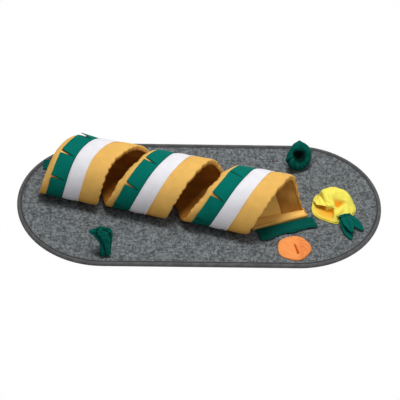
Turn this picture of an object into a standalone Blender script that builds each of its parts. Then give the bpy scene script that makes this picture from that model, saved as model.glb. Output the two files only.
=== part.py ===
"""Small pet play mat: a bound felt mat, a padded spiral tunnel and five sewn treat toys.

Metres, +Z up, origin on the ground under the middle of the mat. The mat is 1 m long along X.
The tunnel is one padded ribbon wound in three turns round a low arch-shaped section.
"""
from math import atan2, cos, floor, hypot, pi, radians, sin, sqrt, tau

import bmesh
import bpy
from mathutils import Matrix, Vector

# Clearances shared by every piece
FIT_GAP = 0.0003
SEAM_GAP = 0.0004
PLY_GAP = 0.0005
CUT_OVERRUN = 0.0040

# Mat
MAT_LENGTH = 1.000
MAT_WIDTH = 0.470
BACKING_THICKNESS = 0.0015
WADDING_THICKNESS = 0.0040
FELT_THICKNESS = 0.0039
BINDING_WIDTH = 0.0140
BINDING_FOOT = 0.0012
BINDING_LIP = 0.0015
BINDING_PROUD = 0.0010
BINDING_NOSE = 0.0040
BINDING_WALL = 0.0030
LAYER_STEP = 0.0010
MAT_ARC_STEPS = 28
NOSE_STEPS = 4

# Tunnel place on the mat and its arch-shaped section, outside sizes
TUNNEL_PLACE_SHARES = (-0.732, 0.3063830)
TUNNEL_TURN = radians(-14.5)
ARCH_WIDTH = 0.172
ARCH_HEIGHT = 0.141
ARCH_WIDEST = 0.038
ARCH_LEAN = 0.0168
ARCH_TOP_POWER = 2.55
ARCH_FOOT_POWER = 3.1
ARCH_SAMPLES = 720

# How far the ribbon has moved along the tunnel after each share of a turn
TURN_SHARES = (-0.29, 0.0, 0.31, 0.62, 1.0, 1.31, 1.62, 2.0, 2.31, 2.62)
ADVANCES = (0.0, 0.030, 0.0645, 0.153, 0.2215, 0.285, 0.350, 0.4475, 0.515, 0.5645)
FOLD_TURN_SHARE = 2.69
STATIONS_PER_TURN = 24

# Ribbon: seams across its width and its layers
RIBBON_WIDTH = 0.161
ALONG_REACH_SHARE = 1 / 27
ACROSS_REACH_SHARE = 1 / 80
LEFT_SEAM = 0.018
GREEN_SEAM = 0.063
WHITE_SEAM = 0.106
COVER_THICKNESS = 0.0014
PADDING_THICKNESS = 0.0075
LINING_THICKNESS = 0.0012
GREEN_CROWN = 0.0018
WHITE_CROWN = 0.0020
MUSTARD_CROWN = 0.0026
CROWN_FADE_HEIGHT = 0.030
EDGE_ROUND = 0.0022
EDGE_ROLL = 0.0080
ROLL_START_HEIGHT = 0.070
ROLL_FULL_HEIGHT = 0.125

# Folded end of the ribbon: fold line, flat panel and the ramp down to it
FOLD_LEFT = (0.518, -0.013)
FOLD_RIGHT = (0.652, 0.076)
PANEL_DEPTH = 0.034
RAMP_ARC = 0.130
PANEL_STATIONS = 3

# The ribbon's first end is gathered in from its left side
START_GATHER = 0.0160
START_GATHER_ARC = 0.110

# Slits in the green band: arc lengths of their middles
SLIT_ARCS = (0.045, 0.114, 0.190, 0.272, 0.355, 0.438, 0.516, 0.580, 0.663, 0.746, 0.829, 0.912, 0.981,
             1.045, 1.121, 1.207, 1.290)
SLIT_MOUTH = 0.0050
SLIT_DEPTH = 0.030

# End tabs and the hook tape under them
TAB_THICKNESS = 0.0026
TAPE_THICKNESS = 0.0010
TAPE_MARGIN = 0.0080
TAB_WAVE = 0.0016
TAB_WAVES = 5
TAB_ROOT_GAP = 0.0006
RIGHT_TAB_LENGTH = 0.163
RIGHT_TAB_DEPTH = 0.038
RIGHT_TAB_SHIFT = 0.0095
LEFT_TAB_LENGTH = 0.1355
LEFT_TAB_DEPTH = 0.0345
LEFT_TAB_SHIFT = -0.0025
TAB_STEPS = 16
TAB_ROWS = 3

# Yellow pouch
POUCH_PLACE_SHARES = (0.735, -0.0468085)
POUCH_RADIUS = 0.0585
POUCH_BASE_THICKNESS = 0.0022
POUCH_RIM_HEIGHT = 0.0060
POUCH_DOME_HEIGHT = 0.0280
POUCH_FLOOR = 0.0016
POUCH_CORE_RADIUS = 0.0190
POUCH_DIMPLE_PLACE = (0.0120, -0.0040)
POUCH_DIMPLE_RADIUS = 0.0120
POUCH_DIMPLE_DEPTH = 0.0110
POUCH_PLEAT = 0.0016
POUCH_PLEATS = 7
POUCH_LOBE_SHARE = 0.035
POCKET_FROM = radians(112.0)
POCKET_TO = radians(272.0)
POCKET_STEPS = 12
DISC_SIDES = 40
DISC_RINGS = 7

# Pouch flap: corners in plan from the pouch's centre and their heights above the felt
FLAP_THICKNESS = 0.0015
FLAP_RIM = ((-0.0560, 0.0140), (-0.0330, 0.0460))
FLAP_FREE = ((-0.0480, -0.0050), (-0.0140, -0.0200))
FLAP_RIM_HEIGHT = 0.0075
FLAP_FREE_HEIGHTS = (0.0175, 0.0245)
FLAP_BULGE = 0.0050
FLAP_STEPS = 6

# Leaves: root and tip in plan from the pouch's centre, width and heights of the centre line above the felt
LEAF_THICKNESS = 0.0014
LEAF_KEEL = 0.0018
LEAF_LOWER = ((0.0205, -0.0450), (0.0435, -0.1230), 0.0290, (0.0130, 0.0125, 0.0100, 0.0060, 0.0024))
LEAF_RIGHT = ((0.0345, -0.0430), (0.0785, -0.0900), 0.0250, (0.0147, 0.0150, 0.0115, 0.0075, 0.0036))
LEAF_MIDDLE = ((0.0245, -0.0430), (0.0455, -0.1100), 0.0300, (0.0157, 0.0215, 0.0235, 0.0225, 0.0190))
LEAF_STEPS = 8
LEAF_COLUMNS = 4
LEAF_ROOT_SHARE = 0.62
LEAF_TIP_SHARE = 0.30

# Orange pocket
ORANGE_PLACE_SHARES = (0.509, -0.7170213)
ORANGE_RADIUS = 0.0455
ORANGE_BASE_THICKNESS = 0.0016
ORANGE_RIM_HEIGHT = 0.0034
ORANGE_DOME_HEIGHT = 0.0078
ORANGE_PUCKER = 0.0012
ORANGE_LOBE_SHARE = 0.025
ORANGE_LOBES = 5
ORANGE_PUCKERS = 9
SLOT_TOP = (0.0017, 0.0090)
SLOT_FOOT = (0.0090, -0.0360)
SLOT_WIDTH = 0.0022
SLOT_FULL_SHARE = 0.4

# Twisted strip at the front left: centre line, half sizes of its section, and its turn
KNOT_PLACE_SHARES = (-0.520, -0.8510638)
KNOT_FOOT_RADIUS = 0.0140
KNOT_FOOT_FLAT = 0.0005
KNOT_CENTRES = ((0.0020, 0.0000, 0.0), (0.0030, 0.0010, 0.0140), (0.0040, 0.0040, 0.0260),
                (0.0030, 0.0110, 0.0420), (-0.0030, 0.0180, 0.0580), (-0.0080, 0.0220, 0.0700),
                (-0.0120, 0.0240, 0.0785))
KNOT_WIDTHS = (0.0, 0.0145, 0.0160, 0.0185, 0.0250, 0.0275, 0.0150)
KNOT_DEPTHS = (0.0, 0.0136, 0.0115, 0.0130, 0.0145, 0.0130, 0.0060)
KNOT_TWIST = radians(25.0)
KNOT_FLAT_SHARE = 0.4
KNOT_FOOT_SHARE = 0.97
KNOT_RIDGES = 5
KNOT_RIDGE_SHARE = 0.13
KNOT_SIDES = 20
KNOT_RINGS = 18

# Gathered loop at the back right
LOOP_PLACE_SHARES = (0.5596, 0.6046809)
LOOP_RADIUS = 0.0245
LOOP_TUBE = 0.0165
LOOP_TUBE_CHANGE = 0.0030
LOOP_LEAN = radians(26.0)
LOOP_TURN = radians(28.0)
LOOP_STRETCH_SHARE = 0.05
LOOP_GATHERS = 9
LOOP_GATHER_SHARE = 0.08
LOOP_STEPS = 30
LOOP_SIDES = 10

# Heights that follow from the layers
LAYER_RAISE = BINDING_FOOT + FIT_GAP
BACKING_TOP = BACKING_THICKNESS
WADDING_FOOT = BACKING_TOP + FIT_GAP
WADDING_TOP = WADDING_FOOT + WADDING_THICKNESS
FELT_FOOT = WADDING_TOP + FIT_GAP
FELT_TOP = FELT_FOOT + FELT_THICKNESS
BINDING_TOP = FELT_TOP + BINDING_PROUD
LIP_FOOT = BINDING_TOP - BINDING_LIP
FELT_EDGE_TOP = LIP_FOOT - FIT_GAP
SEAT = FELT_TOP + FIT_GAP
PADDING_OUT = COVER_THICKNESS + PLY_GAP
PADDING_IN = PADDING_OUT + PADDING_THICKNESS
LINING_OUT = PADDING_IN + PLY_GAP
LINING_IN = LINING_OUT + LINING_THICKNESS


def on_mat(shares):
    """A place on the mat from shares of its half length and half width."""
    return shares[0] * MAT_LENGTH / 2, shares[1] * MAT_WIDTH / 2


TUNNEL_PLACE = on_mat(TUNNEL_PLACE_SHARES)
POUCH_PLACE = on_mat(POUCH_PLACE_SHARES)
ORANGE_PLACE = on_mat(ORANGE_PLACE_SHARES)
KNOT_PLACE = on_mat(KNOT_PLACE_SHARES)
LOOP_PLACE = on_mat(LOOP_PLACE_SHARES)


def clear_scene():
    for item in list(bpy.data.objects):
        bpy.data.objects.remove(item)


def material(name, colour, roughness, metallic=0.0):
    finish = bpy.data.materials.new(name)
    finish.use_nodes = True
    shader = finish.node_tree.nodes["Principled BSDF"]
    shader.inputs["Base Color"].default_value = (*colour, 1.0)
    shader.inputs["Roughness"].default_value = roughness
    shader.inputs["Metallic"].default_value = metallic
    finish.diffuse_color = (*colour, 1.0)
    return finish


def felt_grey():
    return material("felt_grey", (0.17, 0.19, 0.19), 0.95)


def wadding_white():
    return material("wadding_white", (0.80, 0.80, 0.78), 0.95)


def backing_rubber():
    return material("backing_rubber", (0.10, 0.10, 0.11), 0.85)


def binding_grey():
    return material("binding_grey", (0.11, 0.11, 0.12), 0.85)


def green_cloth():
    return material("green_cloth", (0.0, 0.115, 0.085), 0.85)


def white_cloth():
    return material("white_cloth", (0.80, 0.80, 0.82), 0.80)


def mustard_cloth():
    return material("mustard_cloth", (0.72, 0.39, 0.09), 0.85)


def lining_cloth():
    return material("lining_cloth", (0.48, 0.20, 0.03), 0.88)


def hook_black():
    return material("hook_black", (0.03, 0.03, 0.03), 0.80)


def yellow_cloth():
    return material("yellow_cloth", (0.95, 0.72, 0.05), 0.85)


def orange_cloth():
    return material("orange_cloth", (0.92, 0.28, 0.07), 0.85)


def finish_mesh(name, build, finish, place=(0.0, 0.0, 0.0), turn=0.0, crease=radians(38.0)):
    """Make one object from a filled bmesh, faces out and shaded smooth."""
    bmesh.ops.recalc_face_normals(build, faces=build.faces)
    mesh = bpy.data.meshes.new(name)
    build.to_mesh(mesh)
    build.free()
    mesh.materials.append(finish)
    mesh.shade_smooth()
    mesh.set_sharp_from_angle(angle=crease)
    item = bpy.data.objects.new(name, mesh)
    item.location = place
    item.rotation_euler = (0.0, 0.0, turn)
    bpy.context.scene.collection.objects.link(item)
    return item


def add_triangle(build, corners):
    if len(set(corners)) == 3:
        build.faces.new(corners)


def loft(sections, forward=None):
    """Join closed outlines of one point count into one body with flat ends.

    The first `forward` edges of an outline run across the ribbon, the others run back.
    Both are split along the same diagonal, so layers that lie on each other keep their gap.
    """
    build = bmesh.new()
    rings = [[build.verts.new(point) for point in section] for section in sections]
    count = len(sections[0])
    forward = count if forward is None else forward
    for near, far in zip(rings, rings[1:]):
        for index in range(count):
            after = (index + 1) % count
            if index < forward:
                add_triangle(build, (near[index], far[index], far[after]))
                add_triangle(build, (near[index], far[after], near[after]))
            else:
                add_triangle(build, (near[index], far[index], near[after]))
                add_triangle(build, (far[index], far[after], near[after]))
    build.faces.new(rings[0])
    build.faces.new(rings[-1])
    return build


def sheet(rows, thickness_rows):
    """Close a grid of points with a second grid under it."""
    build = bmesh.new()
    top = [[build.verts.new(point) for point in row] for row in rows]
    foot = [[build.verts.new(point) for point in row] for row in thickness_rows]
    for grid in (top, foot):
        for near, far in zip(grid, grid[1:]):
            for index in range(len(near) - 1):
                add_triangle(build, (near[index], far[index], far[index + 1]))
                add_triangle(build, (near[index], far[index + 1], near[index + 1]))
    last = len(rows[0]) - 1
    for index in range(len(rows) - 1):
        for column in (0, last):
            build.faces.new((top[index][column], top[index + 1][column],
                             foot[index + 1][column], foot[index][column]))
    for row in (0, len(rows) - 1):
        for index in range(last):
            build.faces.new((top[row][index], top[row][index + 1],
                             foot[row][index + 1], foot[row][index]))
    return build


# Mat

def stadium(inset, height):
    """Points round the mat's outline, drawn in by an inset."""
    radius = MAT_WIDTH / 2 - inset
    straight = (MAT_LENGTH - MAT_WIDTH) / 2
    points = []
    for side in (1, -1):
        for step in range(MAT_ARC_STEPS + 1):
            angle = pi * (step / MAT_ARC_STEPS - 0.5)
            points.append((side * (straight + radius * cos(angle)), side * radius * sin(angle), height))
    return points


def nested_rings(profile, closed):
    build = bmesh.new()
    rings = [[build.verts.new(point) for point in stadium(inset, height)] for inset, height in profile]
    pairs = list(zip(rings, rings[1:]))
    if closed:
        pairs.append((rings[-1], rings[0]))
    for near, far in pairs:
        for index in range(len(near)):
            after = (index + 1) % len(near)
            build.faces.new((near[index], near[after], far[after], far[index]))
    if not closed:
        build.faces.new(rings[0])
        build.faces.new(rings[-1])
    return build


def layer_margin():
    """Inset of the layers' cut edge inside the binding."""
    return BINDING_WALL + FIT_GAP


def make_backing():
    step_foot = BINDING_WIDTH + FIT_GAP
    step_top = step_foot + LAYER_STEP
    profile = [(step_top, BACKING_TOP), (step_top, BACKING_TOP + LAYER_RAISE),
               (layer_margin(), BACKING_TOP + LAYER_RAISE), (layer_margin(), LAYER_RAISE),
               (step_foot, LAYER_RAISE), (step_foot, 0.0)]
    return finish_mesh("anti_slip_backing", nested_rings(profile, False), backing_rubber())


def make_wadding():
    step = BINDING_WIDTH + FIT_GAP + LAYER_STEP + FIT_GAP
    profile = [(layer_margin() + LAYER_STEP, WADDING_TOP), (layer_margin(), WADDING_TOP - LAYER_STEP),
               (layer_margin(), WADDING_FOOT + LAYER_RAISE), (step, WADDING_FOOT + LAYER_RAISE),
               (step, WADDING_FOOT)]
    return finish_mesh("mat_padding", nested_rings(profile, False), wadding_white())


def make_felt():
    step = BINDING_WIDTH + FIT_GAP
    profile = [(step + LAYER_STEP, FELT_TOP), (step, FELT_EDGE_TOP), (layer_margin(), FELT_EDGE_TOP),
               (layer_margin(), FELT_FOOT)]
    return finish_mesh("felt_top", nested_rings(profile, False), felt_grey())


def make_binding():
    middle = BINDING_TOP / 2
    profile = [(BINDING_WIDTH, BINDING_TOP)]
    for step in range(NOSE_STEPS + 1):
        angle = pi / 2 - pi * step / NOSE_STEPS
        profile.append((BINDING_NOSE * (1 - cos(angle)), middle + middle * sin(angle)))
    profile += [(BINDING_WIDTH, 0.0), (BINDING_WIDTH, BINDING_FOOT), (BINDING_WALL, BINDING_FOOT),
                (BINDING_WALL, LIP_FOOT), (BINDING_WIDTH, LIP_FOOT)]
    return finish_mesh("edge_binding", nested_rings(profile, True), binding_grey())


# Tunnel section and the ribbon's path

def signed_power(value, power):
    size = abs(value) ** power
    return size if value >= 0 else -size


def arch_point(angle):
    """Point of the arch section: across the tunnel and up."""
    if angle >= 0:
        across = signed_power(cos(angle), 2 / ARCH_TOP_POWER) * ARCH_WIDTH / 2
        height = ARCH_WIDEST + (ARCH_HEIGHT - ARCH_WIDEST) * signed_power(sin(angle), 2 / ARCH_TOP_POWER)
    else:
        across = signed_power(cos(angle), 2 / ARCH_FOOT_POWER) * ARCH_WIDTH / 2
        height = ARCH_WIDEST + ARCH_WIDEST * signed_power(sin(angle), 2 / ARCH_FOOT_POWER)
    lean = ARCH_LEAN * max(0.0, height - ARCH_WIDEST) / (ARCH_HEIGHT - ARCH_WIDEST)
    return across + lean, height


def arch_table():
    """The section's points and the length of arc up to each."""
    points = [arch_point(pi - tau * step / ARCH_SAMPLES) for step in range(ARCH_SAMPLES + 1)]
    arcs = [0.0]
    for before, after in zip(points, points[1:]):
        arcs.append(arcs[-1] + hypot(after[0] - before[0], after[1] - before[1]))
    return points, arcs


ARCH_POINTS, ARCH_ARCS = arch_table()
TURN_ARC = ARCH_ARCS[-1]
START_ARC = TURN_SHARES[0] * TURN_ARC
FOLD_ARC = FOLD_TURN_SHARE * TURN_ARC
END_ARC = FOLD_ARC + PANEL_DEPTH


def on_arch(arc):
    """Across and up at an arc length that may pass round the section many times."""
    arc = arc - floor(arc / TURN_ARC) * TURN_ARC
    low, high = 0, len(ARCH_ARCS) - 1
    while high - low > 1:
        middle = (low + high) // 2
        if ARCH_ARCS[middle] <= arc:
            low = middle
        else:
            high = middle
    share = (arc - ARCH_ARCS[low]) / (ARCH_ARCS[high] - ARCH_ARCS[low])
    start, end = ARCH_POINTS[low], ARCH_POINTS[high]
    return start[0] + (end[0] - start[0]) * share, start[1] + (end[1] - start[1]) * share


def key_slope(index):
    before = max(index - 1, 0)
    after = min(index + 1, len(TURN_SHARES) - 1)
    return (ADVANCES[after] - ADVANCES[before]) / (TURN_SHARES[after] - TURN_SHARES[before])


def advance(arc):
    """Place along the tunnel of the ribbon's centre line, and its slope."""
    share = arc / TURN_ARC
    index = 0
    while index < len(TURN_SHARES) - 2 and share > TURN_SHARES[index + 1]:
        index += 1
    span = TURN_SHARES[index + 1] - TURN_SHARES[index]
    step = (share - TURN_SHARES[index]) / span
    slopes = key_slope(index), key_slope(index + 1)
    if step > 1:
        return ADVANCES[index + 1] + (share - TURN_SHARES[index + 1]) * slopes[1], slopes[1] / TURN_ARC
    if step < 0:
        return ADVANCES[index] + (share - TURN_SHARES[index]) * slopes[0], slopes[0] / TURN_ARC
    square, cube = step * step, step * step * step
    start, end = ADVANCES[index], ADVANCES[index + 1]
    place = ((2 * cube - 3 * square + 1) * start + (cube - 2 * square + step) * span * slopes[0]
             + (3 * square - 2 * cube) * end + (cube - square) * span * slopes[1])
    slope = ((6 * square - 6 * step) * (start - end) / span + (3 * square - 4 * step + 1) * slopes[0]
             + (3 * square - 2 * step) * slopes[1])
    return place, slope / TURN_ARC


def wound_point(arc, across):
    """Point of the ribbon's outside where it follows the arch section."""
    place, slope = advance(arc)
    heading = atan2(slope, 1.0)
    offset = across - RIBBON_WIDTH / 2
    side, height = on_arch(arc - offset * sin(heading))
    return Vector((place + offset * cos(heading), side, height))


def fold_point(across, beyond=0.0):
    """Point of the fold line on the felt, or of the flat panel beyond it."""
    left = Vector((*FOLD_LEFT, 0.0))
    along = Vector((*FOLD_RIGHT, 0.0)) - left
    outward = Vector((along.y, -along.x, 0.0)).normalized()
    return left + along * (across / RIBBON_WIDTH) + outward * beyond


def smooth_step(value):
    value = min(max(value, 0.0), 1.0)
    return value * value * (3 - 2 * value)


def skin_point(arc, across):
    """Point of the ribbon's outside, with the ramp and the flat panel at its end."""
    if arc >= FOLD_ARC:
        return fold_point(across, arc - FOLD_ARC)
    ramp = (arc - (FOLD_ARC - RAMP_ARC)) / RAMP_ARC
    natural = wound_point(arc, across)
    if ramp <= 0:
        return natural
    blend = smooth_step(ramp)
    straight = wound_point(FOLD_ARC - RAMP_ARC, across).lerp(fold_point(across), ramp)
    return natural.lerp(straight, blend)


def edge_roll(across, height):
    """How far the free left edge rolls in over the top of each turn."""
    if across >= LEFT_SEAM:
        return 0.0
    lift = smooth_step((height - ROLL_START_HEIGHT) / (ROLL_FULL_HEIGHT - ROLL_START_HEIGHT))
    return EDGE_ROLL * lift * (1 - across / LEFT_SEAM) ** 2


def skin_frame(arc, across):
    """Point of the outside and the direction out of the ribbon there."""
    reach_along = RIBBON_WIDTH * ALONG_REACH_SHARE
    reach_across = RIBBON_WIDTH * ACROSS_REACH_SHARE
    along = skin_point(arc + reach_along, across) - skin_point(arc - reach_along, across)
    cross = skin_point(arc, across + reach_across) - skin_point(arc, across - reach_across)
    outward = cross.cross(along).normalized()
    point = skin_point(arc, across)
    return point, outward


def gathered(arc, across):
    """Place across the ribbon after its first end is gathered in from the left."""
    start = smooth_step(1 - (arc - START_ARC) / START_GATHER_ARC)
    return across + START_GATHER * start * (1 - across / RIBBON_WIDTH)


def layer_point(arc, across, depth):
    point, outward = skin_frame(arc, gathered(arc, across))
    return point - outward * (depth + edge_roll(across, point.z))


def stations():
    """Arc lengths of the cross rows, evenly spaced up to the fold and over the panel."""
    count = round((FOLD_ARC - START_ARC) / TURN_ARC * STATIONS_PER_TURN)
    rows = [START_ARC + (FOLD_ARC - START_ARC) * step / count for step in range(count + 1)]
    rows += [FOLD_ARC + PANEL_DEPTH * (step + 1) / PANEL_STATIONS for step in range(PANEL_STATIONS)]
    return rows


def seam_rows():
    """Places across the ribbon that every layer shares: its seams and the bands' middles."""
    edge = RIBBON_WIDTH
    return (LEFT_SEAM, (LEFT_SEAM + GREEN_SEAM) / 2, GREEN_SEAM, (GREEN_SEAM + WHITE_SEAM) / 2,
            WHITE_SEAM, (WHITE_SEAM + edge) / 2)


def ribbon_body(name, finish, path_out, path_in):
    """Sweep a section of (across, depth) points along the ribbon; depth may follow the height."""
    sections = []
    for arc in stations():
        height = skin_point(arc, RIBBON_WIDTH / 2).z
        fade = min(height / CROWN_FADE_HEIGHT, 1.0)
        outline = [layer_point(arc, across, depth if depth > 0 else depth * fade)
                   for across, depth in path_out + list(reversed(path_in))]
        sections.append(outline)
    build = loft(sections, len(path_out) - 1)
    return finish_mesh(name, build, finish, (*TUNNEL_PLACE, SEAT), TUNNEL_TURN)


def make_padding():
    rows = (PADDING_OUT,) + seam_rows() + (RIBBON_WIDTH - PADDING_OUT,)
    path_out = [(rows[0], PADDING_IN)] + [(row, PADDING_OUT) for row in rows] + [(rows[-1], PADDING_IN)]
    path_in = [(row, PADDING_IN) for row in rows[1:-1]]
    return ribbon_body("tunnel_padding", wadding_white(), path_out, path_in)


def make_lining():
    rows = (0.0,) + seam_rows() + (RIBBON_WIDTH,)
    path_out = [(row, LINING_OUT) for row in rows]
    path_in = [(row, LINING_IN) for row in rows]
    return ribbon_body("tunnel_lining", lining_cloth(), path_out, path_in)


def crowned(start, end, crown):
    """Section of a band between two seams: flat at the seams and puffed in the middle."""
    middle = (start + end) / 2
    path_out = [(start, 0.0), (middle, -crown), (end, 0.0)]
    path_in = [(across, COVER_THICKNESS) for across in (start, middle, end)]
    return path_out, path_in


def make_left_band():
    seam = LEFT_SEAM - SEAM_GAP / 2
    inner = COVER_THICKNESS
    path_out = [(0.0, PADDING_IN), (0.0, EDGE_ROUND), (EDGE_ROUND, 0.0), (seam, 0.0)]
    path_in = [(inner, PADDING_IN), (inner, COVER_THICKNESS), (seam, COVER_THICKNESS)]
    return ribbon_body("left_edge_band", mustard_cloth(), path_out, path_in)


def make_green_band():
    start, end = LEFT_SEAM + SEAM_GAP / 2, GREEN_SEAM - SEAM_GAP / 2
    band = ribbon_body("green_band", green_cloth(), *crowned(start, end, GREEN_CROWN))
    cutter = make_slit_cutter()
    cut = band.modifiers.new("slits", "BOOLEAN")
    cut.operation = "DIFFERENCE"
    cut.object = cutter
    return band


def make_slit_cutter():
    """One wedge for each slit, open at the band's left side and pointed towards the white band."""
    build = bmesh.new()
    tip = LEFT_SEAM + SLIT_DEPTH
    mouth = LEFT_SEAM - CUT_OVERRUN / 4
    for arc in SLIT_ARCS:
        corners = ((arc - SLIT_MOUTH, mouth), (arc + SLIT_MOUTH, mouth), (arc, tip))
        top = [build.verts.new(layer_point(*corner, -CUT_OVERRUN)) for corner in corners]
        foot = [build.verts.new(layer_point(*corner, COVER_THICKNESS + CUT_OVERRUN / 4)) for corner in corners]
        build.faces.new(top)
        build.faces.new(foot)
        for side in range(3):
            after = (side + 1) % 3
            build.faces.new((top[side], top[after], foot[after], foot[side]))
    cutter = finish_mesh("slit_cutter", build, green_cloth(), (*TUNNEL_PLACE, SEAT), TUNNEL_TURN)
    cutter.hide_render = True
    cutter.display_type = "WIRE"
    return cutter


def make_white_band():
    start, end = GREEN_SEAM + SEAM_GAP / 2, WHITE_SEAM - SEAM_GAP / 2
    return ribbon_body("white_band", white_cloth(), *crowned(start, end, WHITE_CROWN))


def make_mustard_band():
    seam = WHITE_SEAM + SEAM_GAP / 2
    edge = RIBBON_WIDTH
    middle = (WHITE_SEAM + RIBBON_WIDTH) / 2
    path_out = [(seam, 0.0), (middle, -MUSTARD_CROWN), (edge - EDGE_ROUND, 0.0), (edge, EDGE_ROUND),
                (edge, PADDING_IN)]
    path_in = [(seam, COVER_THICKNESS), (middle, COVER_THICKNESS),
               (edge - COVER_THICKNESS, COVER_THICKNESS), (edge - COVER_THICKNESS, PADDING_IN)]
    return ribbon_body("mustard_band", mustard_cloth(), path_out, path_in)


# End tabs, drawn flat on the felt in the tunnel's own plan

def tab_frames():
    """Corner, direction along the root and direction out of each end tab."""
    right_root = fold_point(0.0, PANEL_DEPTH)
    right_along = (fold_point(RIBBON_WIDTH, PANEL_DEPTH) - right_root).normalized()
    right_out = Vector((right_along.y, -right_along.x, 0.0))
    right = (right_root + right_along * RIGHT_TAB_SHIFT + right_out * TAB_ROOT_GAP, right_along, right_out)
    start = skin_point(START_ARC, 0.0)
    end = skin_point(START_ARC, RIBBON_WIDTH)
    left_along = Vector((end.x - start.x, end.y - start.y, 0.0)).normalized()
    left_out = Vector((-left_along.y, left_along.x, 0.0))
    left_root = Vector((start.x, start.y, 0.0)) + left_along * LEFT_TAB_SHIFT
    left = (left_root + left_out * TAB_ROOT_GAP, left_along, left_out)
    return right, left


def flat_piece(frame, size, foot, thickness, wave, inset=(0.0, 0.0)):
    corner, along, out = frame
    length, depth = size
    tops, feet = [], []
    for row in range(TAB_ROWS + 1):
        reach = inset[1] + (depth - 2 * inset[1]) * row / TAB_ROWS
        top_row, foot_row = [], []
        for step in range(TAB_STEPS + 1):
            share = step / TAB_STEPS
            place = inset[0] + (length - 2 * inset[0]) * share
            ripple = wave * sin(TAB_WAVES * pi * share) * row / TAB_ROWS
            point = corner + along * place + out * (reach + ripple)
            foot_row.append(point + Vector((0.0, 0.0, foot)))
            top_row.append(point + Vector((0.0, 0.0, foot + thickness)))
        tops.append(top_row)
        feet.append(foot_row)
    return sheet(tops, feet)


def hinge_place(frame):
    """World place of a tab's fold: on its root, level with its top face."""
    corner = frame[0] + Vector((0.0, 0.0, TAPE_THICKNESS + FIT_GAP + TAB_THICKNESS))
    return Matrix.Translation((*TUNNEL_PLACE, SEAT)) @ Matrix.Rotation(TUNNEL_TURN, 4, "Z") @ corner


def make_tab(side, frame, length, depth):
    """A cloth tab and the strip of hook tape sewn under it, both turning on one fold."""
    pivot = bpy.data.objects.new(side + "_tab_fold", None)
    pivot.location = hinge_place(frame)
    pivot.rotation_euler = (0.0, 0.0, TUNNEL_TURN)
    bpy.context.scene.collection.objects.link(pivot)
    below = Vector((0.0, 0.0, -(TAPE_THICKNESS + FIT_GAP + TAB_THICKNESS)))
    local = (below, frame[1], frame[2])
    cloth = finish_mesh(side + "_end_tab",
                        flat_piece(local, (length, depth), TAPE_THICKNESS + FIT_GAP, TAB_THICKNESS, TAB_WAVE),
                        green_cloth())
    tape = finish_mesh(side + "_tab_hook_tape",
                       flat_piece(local, (length, depth), 0.0, TAPE_THICKNESS, 0.0, (TAPE_MARGIN, TAPE_MARGIN)),
                       hook_black())
    cloth.parent = pivot
    tape.parent = pivot
    return cloth, tape


# Round sewn toys

def polar_body(outline, top, foot, rings=DISC_RINGS, sides=DISC_SIDES):
    """Close a round piece whose outline, top and underside follow functions of radius and angle."""
    build = bmesh.new()
    layers = []
    for height in (top, foot):
        centre = build.verts.new((0.0, 0.0, height(0.0, 0.0)))
        grid = []
        for ring in range(1, rings + 1):
            row = []
            for side in range(sides):
                angle = tau * side / sides
                radius = outline(angle) * ring / rings
                row.append(build.verts.new((radius * cos(angle), radius * sin(angle), height(radius, angle))))
            grid.append(row)
        layers.append((centre, grid))
    for centre, grid in layers:
        for side in range(sides):
            after = (side + 1) % sides
            build.faces.new((centre, grid[0][side], grid[0][after]))
            for near, far in zip(grid, grid[1:]):
                build.faces.new((near[side], far[side], far[after], near[after]))
    rims = layers[0][1][-1], layers[1][1][-1]
    for side in range(sides):
        after = (side + 1) % sides
        build.faces.new((rims[0][side], rims[0][after], rims[1][after], rims[1][side]))
    return build


def disc_body(outline, thickness, sides=DISC_SIDES):
    build = bmesh.new()
    rings = []
    for height in (0.0, thickness):
        rings.append([build.verts.new((outline(tau * side / sides) * cos(tau * side / sides),
                                       outline(tau * side / sides) * sin(tau * side / sides), height))
                      for side in range(sides)])
    build.faces.new(rings[0])
    build.faces.new(rings[1])
    for side in range(sides):
        after = (side + 1) % sides
        build.faces.new((rings[0][side], rings[0][after], rings[1][after], rings[1][side]))
    return build


def prism_cutter(name, outline, low, high, place):
    """A hidden upright prism that cuts a hollow."""
    build = bmesh.new()
    foot = [build.verts.new((x, y, low)) for x, y in outline]
    top = [build.verts.new((x, y, high)) for x, y in outline]
    build.faces.new(foot)
    build.faces.new(top)
    for index in range(len(outline)):
        after = (index + 1) % len(outline)
        build.faces.new((foot[index], foot[after], top[after], top[index]))
    cutter = finish_mesh(name, build, felt_grey(), place)
    cutter.hide_render = True
    cutter.display_type = "WIRE"
    return cutter


def cut_with(item, cutter):
    cut = item.modifiers.new(cutter.name, "BOOLEAN")
    cut.operation = "DIFFERENCE"
    cut.object = cutter


def pouch_outline(angle):
    return POUCH_RADIUS * (1 + POUCH_LOBE_SHARE * cos(5 * angle + pi / 4))


def pouch_top(radius, angle):
    """Dome with pleats that run to a dimple beside its centre."""
    share = min(radius / POUCH_RADIUS, 1.0)
    height = POUCH_RIM_HEIGHT + (POUCH_DOME_HEIGHT - POUCH_RIM_HEIGHT) * (1 - share * share)
    x = radius * cos(angle) - POUCH_DIMPLE_PLACE[0]
    y = radius * sin(angle) - POUCH_DIMPLE_PLACE[1]
    away = (x * x + y * y) / (POUCH_DIMPLE_RADIUS * POUCH_DIMPLE_RADIUS)
    height -= POUCH_DIMPLE_DEPTH / (1 + away * away)
    return height + POUCH_PLEAT * sin(POUCH_PLEATS * angle) * share * (1 - share) * 4


def make_pouch_base():
    return finish_mesh("yellow_pouch_base", disc_body(pouch_outline, POUCH_BASE_THICKNESS),
                       yellow_cloth(), (*POUCH_PLACE, SEAT))


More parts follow.
